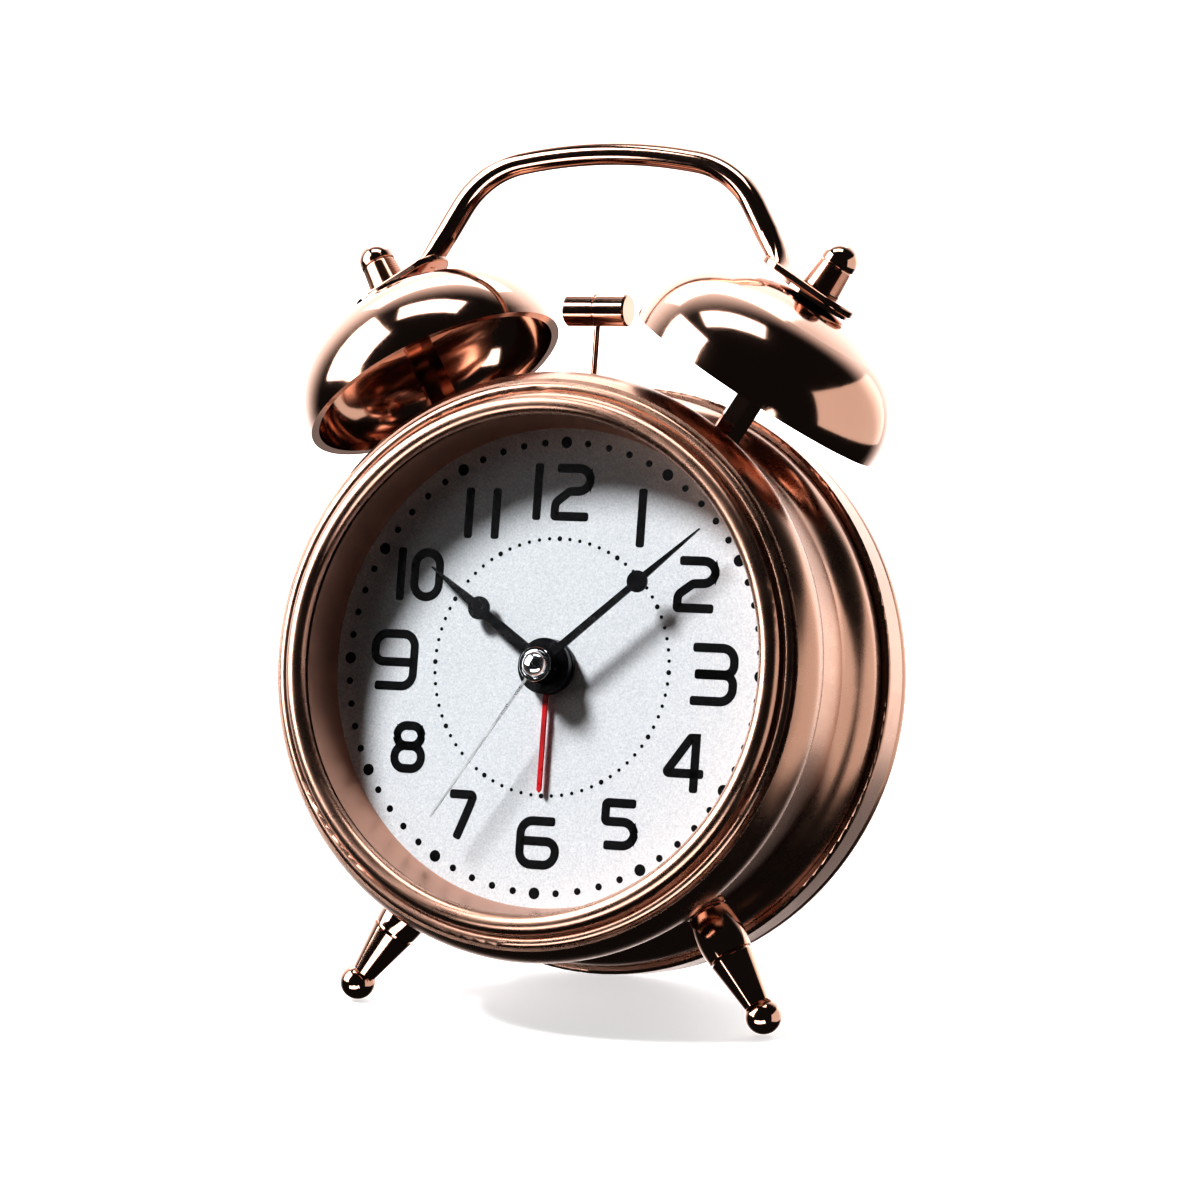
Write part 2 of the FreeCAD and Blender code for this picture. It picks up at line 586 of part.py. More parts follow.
def make_bells():
    crown = number("bell_rim_distance") + number("bell_height")
    washer_top = crown + number("washer_thickness")
    tongue_top = washer_top + number("tongue_thickness")
    post_start = number("drum_radius") + TOUCH
    post_end = crown - number("bell_wall") - number("post_gap")
    washers = []
    for side, word in ((-1, "left"), (1, "right")):
        def spot(distance, turn=side * number("bell_angle")):
            return radial(turn, number("bell_depth"), distance)

        bell = revolved(word + "_bell", bell_outline(), about="Z")
        keep(word + "_bell", bell, spot(number("bell_rim_distance")))
        hexagon = prism(word + "_post_hex", S["post_across"], post_end - post_start, spot(post_start))
        start = post_start - number("post_stud_inside")
        end = tongue_top + number("post_above_tongue")
        stud = cylinder(word + "_post_stud", S["post_stud_radius"], end - start, spot(start))
        keep(word + "_bell_post", fuse(word + "_bell_post", [hexagon, stud]))
        disc = cylinder(word + "_washer_disc", S["washer_radius"], S["washer_thickness"], spot(crown))
        hole = cylinder(word + "_washer_hole", S["post_stud_radius"] + FIT, 2, spot(crown - 0.5))
        washers.append(cut(word + "_washer", disc, [hole]))
        cap = revolved(word + "_cap_nut", [
            (S["post_stud_radius"] + TOUCH, 0), (S["nut_radius"], 0), (S["nut_radius"], S["nut_foot"]),
            (S["nut_top_radius"], S["nut_barrel"]), (S["nut_dome_radius"], S["nut_barrel"]),
            (S["nut_dome_radius"], S["nut_dome_level"], S["nut_dome_radius"]),
            (0, S["nut_dome_level"] + S["nut_dome_radius"]), (0, S["nut_depth"]),
            (S["post_stud_radius"] + TOUCH, S["nut_depth"])], about="Z")
        keep(word + "_cap_nut", cap, spot(tongue_top))
    keep("bell_washers", group("bell_washers", washers))


# ---- handle --------------------------------------------------------------------------------------------

def handle_centreline():
    """Points and arcs of the right half of the rod's centreline, from the crown to the tongue."""
    turn = math.radians(number("bell_angle"))
    outward = Vector(math.sin(turn), 0, math.cos(turn))
    downhill = Vector(math.cos(turn), 0, -math.sin(turn))
    level = (number("bell_rim_distance") + number("bell_height") + number("washer_thickness")
             + number("tongue_thickness") / 2)
    eye = outward * level
    knee = eye - downhill * number("handle_knee_distance")
    slope = math.radians(number("handle_leg_slope"))
    up = Vector(-math.sin(slope), 0, math.cos(slope))
    inward = Vector(-math.cos(slope), 0, -math.sin(slope))
    big, small = number("handle_crown_arc"), number("handle_shoulder_arc")
    crown_centre = Vector(0, 0, number("handle_crown") - big)
    # The shoulder arc touches the leg's line and the crown arc: find how far up the leg it starts.
    offset = knee + inward * small - crown_centre
    along = offset.dot(up)
    climb = -along + math.sqrt(along ** 2 - offset.Length ** 2 + (big - small) ** 2)
    centre = knee + inward * small + up * climb
    shoulder_top = crown_centre + (centre - crown_centre).normalize() * big
    shoulder_foot = knee + up * climb
    bisector = (shoulder_top - centre + shoulder_foot - centre).normalize()
    # The lower bend is tangent to the leg and to the tongue.
    angle = math.acos(-up.dot(downhill))
    setback = number("handle_bend_arc") * math.tan(angle / 2)
    bend_start = knee + up * setback
    bend_end = knee + downhill * setback
    between = (up + downhill).normalize()
    bend_centre = knee + between * (number("handle_bend_arc") / math.cos(angle / 2))
    bend_middle = bend_centre - between * number("handle_bend_arc")
    return {
        "crown": Vector(0, 0, number("handle_crown")), "shoulder_top": shoulder_top,
        "shoulder_middle": centre + bisector * small, "shoulder_foot": shoulder_foot,
        "bend_start": bend_start, "bend_middle": bend_middle, "bend_end": bend_end,
        "eye": eye, "downhill": downhill, "outward": outward,
    }


def oval(centre, travel, half_width, half_height):
    """Closed oval across a direction of travel, wide along the clock's depth."""
    depth = Vector(0, 1, 0)
    turn = Rotation(depth, travel.cross(depth), travel, "XZY")
    edge = Part.Ellipse(Vector(), half_width, half_height).toShape()
    edge.Placement = Placement(centre, turn)
    return Part.Wire(edge)


def make_handle():
    line = handle_centreline()
    radius = number("handle_rod_radius")
    up = (line["shoulder_foot"] - line["bend_start"]).normalize()
    round_end = line["bend_start"] + up * number("handle_flattening")

    def mirrored(point):
        return Vector(-point.x, point.y, point.z)

    side_arc = [Part.Arc(line["shoulder_top"], line["shoulder_middle"], line["shoulder_foot"]).toShape(),
                Part.LineSegment(line["shoulder_foot"], round_end).toShape()]
    crown = Part.Arc(mirrored(line["shoulder_top"]), line["crown"], line["shoulder_top"]).toShape()
    left = [edge.mirror(Vector(), Vector(1, 0, 0)) for edge in side_arc]
    path = Part.Wire(Part.__sortEdges__([crown] + side_arc + left))
    section = Part.Wire(Part.makeCircle(radius, mirrored(round_end), mirrored(up)))
    rod_shape = path.makePipeShell([section], True, True)
    rod_end = [face for face in rod_shape.Faces if (face.CenterOfMass - round_end).Length < radius / 10][0]

    half = number("tongue_thickness") / 2
    downhill, outward = line["downhill"], line["outward"]
    halfway = (downhill - up).normalize()
    early = round_end - up * (number("handle_flattening") * 0.4)
    sections = [rod_end.OuterWire]
    for centre, travel, widening, thinning in (
            (early, up * -1, 1.08, 0.94), (line["bend_start"], up * -1, 1.4, 0.74),
            (line["bend_middle"], halfway, 1.65, 0.55),
            (line["bend_end"] + downhill * 0.8, downhill, 1.9, 0.97 * half / radius)):
        sections.append(oval(centre, travel, radius * widening, radius * thinning))
    flattening = Part.makeLoft(sections, True, False)
    width = number("tongue_half_width")
    inner = width - number("tongue_inner_end")
    outer = number("tongue_outer_end") - width
    turn = Rotation(downhill, Vector(0, 1, 0), outward, "XZY")
    slab = Part.makeBox(outer - inner, 2 * width, 2 * half, Vector(inner, -width, -half))
    ends = [Part.makeCylinder(width, 2 * half, Vector(place, 0, -half)) for place in (inner, outer)]
    tongue = slab.fuse(ends).removeSplitter()
    rims = [edge for edge in tongue.Edges if abs(edge.CenterOfMass.z) > half * 0.9]
    tongue = tongue.makeFillet(number("tongue_rounding"), rims)
    tongue.Placement = Placement(line["eye"], turn)
    below = Part.makeBox(4 * width, 4 * width, width, Vector(-2 * width, -2 * width, -half - width))
    below.Placement = Placement(line["eye"], turn)
    foot = tongue.fuse(flattening)
    reach = 2 * number("tongue_thickness")
    hole_radius = number("post_stud_radius") + FIT
    hole = Part.makeCylinder(hole_radius, 2 * reach, line["eye"] - outward * reach, outward)
    foot = foot.cut([hole, below])
    whole = rod_shape.fuse([foot, foot.mirror(Vector(), Vector(1, 0, 0))])
    keep("handle", solid("handle", whole), at(0, number("bell_depth"), 0))


# ---- hammer and striker --------------------------------------------------------------------------------

def make_hammer():
    depth = number("bell_depth")
    half = S["hammer_head_length"] / 2
    radius = S["hammer_head_radius"]
    edge = S["hammer_chamfer"]
    groove = S["hammer_waist_groove"]
    head = revolved("hammer_head", [
        (0, -half), (radius - edge, -half), (radius, -half + edge), (radius, -groove * 1.2),
        (radius - groove, -groove * 0.8), (radius - groove, groove * 0.8), (radius, groove * 1.2),
        (radius, half - edge), (radius - edge, half), (0, half)], about="Z")
    head.Placement = across(0, depth, number("hammer_height"))
    rod_foot = number("hammer_pivot_height") + number("rocker_boss_radius") + number("rocker_neck")
    rod_top = number("hammer_height") - number("hammer_head_radius") + number("hammer_socket_depth")
    socket = cylinder("hammer_socket", S["hammer_rod_radius"], rod_top - rod_foot, at(0, depth, rod_foot))
    keep("hammer_rod", cylinder("hammer_rod_bar", S["hammer_rod_radius"], rod_top - rod_foot,
                                at(0, depth, rod_foot)))
    keep("hammer_head", cut("hammer_head", head, [socket]))
    pivot, tail = S["hammer_pivot_height"], S["rocker_tail"]
    front = S["bell_depth"] - S["rocker_thickness"] / 2
    back = S["bell_depth"] + S["rocker_thickness"] / 2
    arm, boss, jaw = S["rocker_arm"], S["rocker_boss_radius"], S["rocker_jaw"]
    fork, waist = pivot - tail, boss * 0.8
    half_outline = [
        (arm - 0.4, fork + jaw * 0.8), (arm, fork - jaw), (arm * 2, fork - jaw), (arm * 2, fork + jaw),
        (arm, fork + 2 * jaw), (arm, pivot - waist), (boss, pivot), (arm, pivot + waist),
        (arm, rod_foot + S["rod_seat"])]
    mirrored_half = [(-x, z) for x, z in reversed(half_outline)]
    rocker = plate("hammer_rocker", half_outline + mirrored_half, front, back,
                   [(0, pivot, S["hammer_pivot_radius"] + S["running_gap"])])
    seat = cylinder("rocker_socket", S["hammer_rod_radius"], 4, at(0, depth, rod_foot))
    keep("hammer_rocker", cut("hammer_rocker", rocker, [seat]))
    pin_front, pin_back = number("plate_back"), depth + number("pivot_overhang")
    pin = cylinder("pivot_bar", S["hammer_pivot_radius"], pin_back - pin_front,
                   along_y(0, pin_front, number("hammer_pivot_height")))
    keep("hammer_pivot", pin)


def make_striker():
    x, z = number("motor_side"), number("crank_height")
    front, nose_length = number("motor_front"), number("motor_nose_length")
    shaft_radius, shaft_front = number("motor_shaft_radius"), number("motor_shaft_front")
    wall, gap, length = number("motor_wall"), number("armature_gap"), number("motor_length")
    can = cylinder("motor_can", S["motor_radius"], S["motor_length"], along_y(x, front, z))
    room = cylinder("motor_room", S["motor_radius"] - wall, S["motor_length"] - 2 * wall,
                    along_y(x, front + wall, z))
    nose = cylinder("motor_nose", S["motor_nose_radius"], nose_length, along_y(x, front - nose_length, z))
    bore = cylinder("motor_bore", S["motor_shaft_radius"] + S["running_gap"], S["motor_shaft_length"] + 1,
                    along_y(x, shaft_front, z))
    keep("striker_motor", cut("striker_motor", fuse("motor_housing", [can, nose]), [room, bore]))
    shaft = rod(x, z, shaft_radius, shaft_front, shaft_front + number("motor_shaft_length"))
    armature = rod(x, z, number("armature_radius"), front + gap, front + length - gap)
    keep("motor_pinion", solid("motor_pinion", gear("motor_gear", (x, z)).fuse([shaft, armature])))
    middle = number("crank_wheel_middle")
    pin = rod(0, z + number("crank_throw"), number("crank_pin_radius"), number("crank_pin_front"), middle)
    arbor = rod(0, z, number("arbor_radius"), middle, number("arbor_back"))
    keep("crank_gear", solid("crank_gear", gear("crank_wheel", (0, z)).fuse([pin, arbor])))


# ---- gears ---------------------------------------------------------------------------------------------

def centre_distance(first, second):
    """Distance between the arbors of two meshing gears."""
    return sum(GEAR_TRAIN[name][0] * GEAR_TRAIN[name][1] for name in (first, second)) / 2


def polar(start, distance, degrees):
    turn = math.radians(degrees)
    return start[0] + distance * math.cos(turn), start[1] + distance * math.sin(turn)


CENTRE = (0.0, 0.0)
MOTION = polar(CENTRE, centre_distance("cannon_gear", "motion_wheel"), 150)
TIME_KNOB = polar(MOTION, centre_distance("motion_wheel", "time_knob_gear"), 180)
ALARM_KNOB = (math.sqrt(centre_distance("alarm_wheel", "alarm_knob_gear") ** 2 - MOTION[1] ** 2), MOTION[1])
THIRD = polar(CENTRE, centre_distance("centre_wheel", "third_pinion"), -58)
INTERMEDIATE = (-5.2, -3.0)
ROTOR_DISTANCE = centre_distance("intermediate_wheel", "rotor_pinion")
ROTOR = (INTERMEDIATE[0] - ROTOR_DISTANCE * 0.8, INTERMEDIATE[1] - ROTOR_DISTANCE * 0.6)
CRANK = (0.0, number("crank_height"))
MOTOR = (number("motor_side"), number("crank_height"))

BRIDGE_OUTLINE = [
    (-13, -11.8), (9.5, -11.8), (9.5, 11), (0.7, 11), (0.7, 23), (-5, 23), (-5, 11), (-13, 11)]
BOARD_SIDES = (11, -12, 13, -1.5)
PILLARS = [(x * side, z) for x, z in ((25.5, 29.5), (26.0, -8.0)) for side in (-1, 1)]

MESHES = [  # driver, place, driven, place
    ("alarm_wheel", CENTRE, "alarm_knob_gear", ALARM_KNOB),
    ("cannon_gear", CENTRE, "motion_wheel", MOTION),
    ("motion_wheel", MOTION, "time_knob_gear", TIME_KNOB),
    ("hour_wheel", CENTRE, "motion_pinion", MOTION),
    ("centre_wheel", CENTRE, "third_pinion", THIRD),
    ("second_pinion", CENTRE, "third_wheel", THIRD),
    ("second_wheel", CENTRE, "intermediate_pinion", INTERMEDIATE),
    ("intermediate_wheel", INTERMEDIATE, "rotor_pinion", ROTOR),
    ("crank_wheel", CRANK, "motor_gear", MOTOR),
]


def mesh_phases():
    """Angle of one tooth of every gear, so that each pair meets tooth to gap."""
    found = {}
    for driver, here, driven, there in MESHES:
        found.setdefault(driver, 0.0)
        line = math.degrees(math.atan2(there[1] - here[1], there[0] - here[0]))
        step = 360.0 / GEAR_TRAIN[driver][0]
        offset = ((line - found[driver]) / step) % 1.0
        step_driven = 360.0 / GEAR_TRAIN[driven][0]
        found[driven] = line + 180 + (offset - 0.5) * step_driven
    return found


phases = mesh_phases()


def gear(name, place):
    """Toothed disc along Y, with slim straight-sided teeth that never bind."""
    teeth, module, front, back = GEAR_TRAIN[name]
    pitch = teeth * module / 2
    step = 2 * math.pi / teeth
    corners = []
    for tooth in range(teeth):
        middle = math.radians(phases[name]) + tooth * step
        for outside, lead in TOOTH_CORNERS:
            radius, angle = pitch + outside * module, middle + lead * step
            corners.append(Vector(place[0] + radius * math.cos(angle), front,
                                  place[1] + radius * math.sin(angle)))
    face = Part.Face(Part.makePolygon(corners + corners[:1]))
    return face.extrude(Vector(0, back - front, 0))


def make_wheel(name, place, gears, rods):
    """Sub-part on one arbor: its gears and its plain round lengths, given as (radius, front, back)."""
    rounds = [rod(*place, *each) for each in rods]
    toothed = [gear(each, place) for each in gears]
    keep(name, solid(name, toothed[0].fuse(toothed[1:] + rounds)))


def make_pipe(name, gears, outer, inner, front, back):
    """Toothed pipe on the hands' axis."""
    toothed = [gear(each, CENTRE) for each in gears]
    whole = rod(*CENTRE, outer, front, back).fuse(toothed)
    keep(name, solid(name, whole.cut(rod(*CENTRE, inner, front - 1, back + 1))))


def make_knob(name, place, gear_name):
    """Fluted knob, its stem and the gear at the stem's end."""
    radius, front, back = number("knob_radius"), number("knob_front"), number("knob_back")
    stem = rod(*place, number("knob_stem_radius"), GEAR_TRAIN[gear_name][2], front + 1)
    grip = rod(*place, radius, front, back)
    grip = grip.makeChamfer(number("knob_chamfer"), [grip.Edges[0], grip.Edges[2]])
    count = int(number("knob_flutes"))
    flutes = []
    for index in range(count):
        spot = polar(place, radius, 360 * index / count)
        flutes.append(rod(*spot, number("knob_flute_radius"), front - 1, back + 1))
    keep(name, solid(name, gear(gear_name, place).fuse([stem, grip.cut(flutes)])))


def make_train():
    thin, front, back = number("arbor_radius"), number("arbor_front"), number("arbor_back")
    shaft, gap = number("second_shaft_radius"), number("running_gap")
    minute_pipe, hour_pipe = number("minute_pipe_radius"), number("hour_pipe_radius")
    for name, gears, outer, inner, start in (
            ("alarm_wheel", ["alarm_wheel"], number("alarm_pipe_radius"), hour_pipe, "alarm_hand_front"),
            ("hour_wheel", ["hour_wheel"], hour_pipe, minute_pipe, "hour_hub_front"),
            ("cannon_pinion", ["cannon_gear"], minute_pipe, shaft, "minute_hand_front")):
        make_pipe(name, gears, outer, inner + gap, number(start), GEAR_TRAIN[gears[0]][3])
    make_pipe("centre_wheel", ["centre_wheel"], minute_pipe, shaft + gap,
              number("centre_pipe_front"), number("centre_pipe_back"))
    make_wheel("second_wheel", CENTRE, ["second_wheel", "second_pinion"],
               [(shaft, number("second_hand_front"), back)])
    make_wheel("motion_wheel", MOTION, ["motion_wheel", "motion_pinion"], [(thin, front, back)])
    make_wheel("third_wheel", THIRD, ["third_wheel", "third_pinion"], [(thin, front, back)])
    make_wheel("intermediate_wheel", INTERMEDIATE, ["intermediate_wheel", "intermediate_pinion"],
               [(thin, number("intermediate_front"), back)])
    make_wheel("rotor", ROTOR, ["rotor_pinion"], [
        (number("rotor_radius"), number("magnet_front"), number("magnet_back")),
        (thin, number("rotor_arbor_front"), back)])
    make_knob("time_set_knob", TIME_KNOB, "time_knob_gear")
    make_knob("alarm_set_knob", ALARM_KNOB, "alarm_knob_gear")


# ---- hands ---------------------------------------------------------------------------------------------

def blade(hand):
    """Flat hand pointing at 12: tapered root, a round spot, then a long point."""
    start, length = S[hand + "_blade_start"], S[hand + "_hand_length"]
    root_half, neck_half, tip_half = [S[hand + word] for word in ("_root_half", "_neck_half", "_tip_half")]
    spot, spot_radius = S[hand + "_spot_distance"], S[hand + "_spot_radius"]
    front = S[hand + "_hand_front"]
    lower = spot - root_of_spot(spot_radius, neck_half)
    upper = spot + root_of_spot(spot_radius, neck_half)
    return plate(hand + "_blade", [
        (-root_half, start), (root_half, start), (neck_half, lower, spot_radius),
        (spot_radius, spot, spot_radius),
        (neck_half, upper), (tip_half, length), (-tip_half, length),
        (-neck_half, upper, spot_radius), (-spot_radius, spot, spot_radius),
        (-neck_half, lower)], front, front + S["hand_thickness"])


def root_of_spot(radius, half_width):
    """How far along the hand its edge meets the round spot."""
    return root(radius * radius - half_width * half_width)


def pointed_hand(name, pieces, bore, turn):
    """Fuse a hand's pieces, bore it and turn it from 12 to its place on the dial."""
    tool = cylinder(name + "_bore", bore, 8, along_y(0, -8, 0))
    hand = cut(name, fuse(name, pieces), [tool])
    return keep(name, hand, Placement(Vector(), Rotation(Vector(0, 1, 0), number(turn))))


def make_hands():
    hub, thickness = S["hub_radius"], S["hand_thickness"]
    hour_back = S["hour_hand_front"] + thickness
    hour_blade = blade("hour")
    hour_hub = plate("hour_hub", (0, 0, hub), S["hour_hub_front"], hour_back)
    pointed_hand("hour_hand", [hour_blade, hour_hub], S["hour_pipe_radius"], "hour_hand_turn")
    minute_blade = blade("minute")
    minute_hub = plate("minute_hub", (0, 0, S["minute_hub_radius"]), S["minute_hand_front"],
                       S["minute_hub_back"])
    pointed_hand("minute_hand", [minute_blade, minute_hub], S["minute_pipe_radius"], "minute_hand_turn")
    alarm_front = S["alarm_hand_front"]
    hub_front = alarm_front + 0.1
    alarm_hub = plate("alarm_hub", (0, 0, hub), hub_front, hub_front + S["alarm_hub_thickness"])
    half, start, length = S["alarm_blade_half"], S["alarm_blade_start"], S["alarm_hand_length"]
    shoulder = length - S["alarm_point_length"]
    alarm_blade = plate("alarm_blade", [
        (-half, start), (half, start), (half, shoulder), (0, length), (-half, shoulder)],
        alarm_front, alarm_front + thickness)
    pointed_hand("alarm_hand", [alarm_blade, alarm_hub], S["alarm_pipe_radius"], "alarm_hand_turn")
    second_back = S["second_hand_front"] + S["second_hand_thickness"]
    half, tip, tail = S["second_root_half"], S["second_tip_half"], S["second_tail_length"]
    length = S["second_hand_length"]
    second_blade = plate("second_blade", [(-half, -tail), (half, -tail), (tip, length), (-tip, length)],
                         S["second_hand_front"], second_back)
    second_hub = plate("second_hub", (0, 0, S["second_hub_radius"]), S["second_hand_front"], second_back)
    pointed_hand("second_hand", [second_blade, second_hub], S["second_shaft_radius"], "second_hand_turn")
    cap_height, cap_radius = S["cap_height"], S["cap_radius"]
    dome = (cap_height * cap_height + cap_radius * cap_radius) / (cap_height * 2)
    cap_back = S["second_hand_front"]
    keep("second_hand_cap", revolved("second_hand_cap", [
        (0, cap_back - cap_height, dome), (cap_radius, cap_back), (0, cap_back)]))


# ---- movement ------------------------------------------------------------------------------------------

def make_movement():
    half, low, high = S["plate_half_width"], S["plate_bottom"], S["plate_top"]
    gap, thin = S["running_gap"], S["arbor_radius"]
    side, inset = number("screw_side"), number("screw_inset")
    rows = (number("plate_bottom") + inset, number("plate_top") - inset)
    screw_spots = [(x, z) for x in (-side, side) for z in rows]
    arbor_holes = [(x, z, thin + gap) for x, z in (MOTION, THIRD)]
    front_holes = [(0, 0, S["alarm_pipe_radius"] + gap)] + arbor_holes
    front_holes += [(x, z, S["screw_radius"]) for x, z in screw_spots]
    keep("movement_front_plate", plate("movement_front_plate", rectangle(half, low, high),
                                       S["plate_front"], S["plate_back"], front_holes))
    wall = S["housing_wall"]
    seam = S["plate_back"] + TOUCH
    shell = block("housing_outer", (-half, seam, low), (half, S["housing_back"], high))
    hollow = block("housing_inner", (-half + wall, S["plate_back"] - 1, low + wall),
                   (half - wall, S["housing_back"] - wall, high - wall))
    notch_width, notch_depth = S["notch_half_width"], S["notch_half_depth"]
    notch = block("housing_notch", (-notch_width, S["bell_depth"] - notch_depth, high - 2 * wall),
                  (notch_width, S["bell_depth"] + notch_depth, high + wall))
    stems = [cylinder("stem_hole_%d" % index, S["knob_hole_radius"], 6, along_y(x, 18, z))
             for index, (x, z) in enumerate((TIME_KNOB, ALARM_KNOB))]
    box = cut("movement_box", shell, [hollow, notch] + stems)
    pillar_length = S["cover_front"] - S["housing_back"] + S["housing_wall"] / 2 - 2 * TOUCH
    screws, bosses, threads = [], [], []
    for index, (x, z) in enumerate(screw_spots):
        radius, length = S["pillar_radius"], S["boss_length"]
        start = number("plate_front")
        bosses.append(cylinder("screw_boss_%d" % index, radius, length, along_y(x, float(seam), z)))
        threads.append(cylinder("screw_thread_%d" % index, S["screw_radius"], length, along_y(x, start, z)))
        screws.append(cylinder("case_screw_%d" % index, S["screw_radius"], S["screw_length"],
                               along_y(x, start + number("screw_sunk"), z)))
    for index, (x, z) in enumerate(PILLARS):
        seat = number("housing_back") - number("housing_wall") / 2
        bosses.append(cylinder("pillar_%d" % index, S["pillar_radius"], pillar_length, along_y(x, seat, z)))
        threads.append(cylinder("pillar_thread_%d" % index, S["screw_radius"], S["cover_screw_length"],
                                along_y(x, number("cover_screw_front"), z)))
    moulded = fuse("movement_moulding", [box] + bosses)
    keep("movement_housing", cut("movement_housing", moulded, threads))
    keep("movement_screws", group("movement_screws", screws))
    bearing = [(0, 0, S["second_shaft_radius"] + gap), (0, S["crank_height"], thin + gap)] + arbor_holes
    bearing += [(x, z, thin + gap) for x, z in (INTERMEDIATE, ROTOR)]
    keep("train_bridge", plate("train_bridge", BRIDGE_OUTLINE, S["bridge_front"], S["bridge_back"],
                               bearing))

    make_stepper()
    front = S["board_front"]
    keep("circuit_board", plate("circuit_board", rectangle(*BOARD_SIDES), front,
                                front + S["board_thickness"]))
    radius = number("crystal_radius")
    keep("quartz_crystal", cylinder("crystal_can", radius, S["crystal_length"], across(
        -12.0, number("board_front") - radius - TOUCH, 12.1)))
    keep("dial_lamp", cylinder("lamp_body", S["lamp_radius"], S["lamp_length"], along_y(
        number("lamp_side"), number("lamp_front"), number("lamp_height"))))


def make_stepper():
    """Stator, bobbin and winding of the stepping motor that turns the rotor."""
    left, right = -16.0, 8.0
    coil_start, coil_end = number("bobbin_start"), number("bobbin_start") + number("bobbin_length")
    middle, half = number("coil_height"), number("core_half")
    depth, thickness = number("coil_depth"), number("stator_thickness")
    front, back = depth - thickness / 2, depth + thickness / 2
    arbor, top = number("stator_clearance"), -2.2
    yoke = block("stator_yoke", (left, front, middle - half), (right, back, top))
    window = block("stator_window", (coil_start - 0.4, front - 1, middle + half),
                   (coil_end + 0.4, back + 1, middle + number("window_height")))
    bore = cylinder("stator_bore", S["rotor_radius"] + number("rotor_air_gap"), 3 * thickness,
                    along_y(ROTOR[0], front - thickness, ROTOR[1]))
    clearance = block("stator_clearance_notch", (INTERMEDIATE[0] - arbor, front - 1, INTERMEDIATE[1] - arbor),
                      (INTERMEDIATE[0] + 1.2, back + 1, top + 1))
    relief = block("stator_relief", (number("stator_leg_end"), front - 1, middle + number("leg_height")),
                   (right + 1, back + 1, top + 1))
    keep("stator", cut("stator", yoke, [window, bore, clearance, relief]))

    def ring(name, radius, start, end, tool):
        disc = cylinder(name + "_ring", radius, end - start, across(start, depth, middle))
        return cut(name, disc, [tool])

    def square_core(name):
        reach = half + 0.1
        return block(name, (coil_start - 1, depth - reach, middle - reach),
                     (coil_end + 1, depth + reach, middle + reach))

    flange, thin = S["bobbin_radius"], number("bobbin_flange")
    keep("coil_bobbin", fuse("coil_bobbin", [
        ring("bobbin_left", flange, coil_start, coil_start + thin, square_core("left_core")),
        ring("bobbin_right", flange, coil_end - thin, coil_end, square_core("right_core")),
        ring("bobbin_tube", S["bobbin_tube_radius"], coil_start, coil_end, square_core("tube_core"))]))
    tube = cylinder("winding_core", S["bobbin_tube_radius"] + 0.05, coil_end - coil_start,
                    across(coil_start, depth, middle))
    keep("drive_coil", ring("drive_coil", S["winding_radius"], coil_start + thin + 0.1,
                            coil_end - thin - 0.1, tube))


# ---- rear cover and its controls -----------------------------------------------------------------------

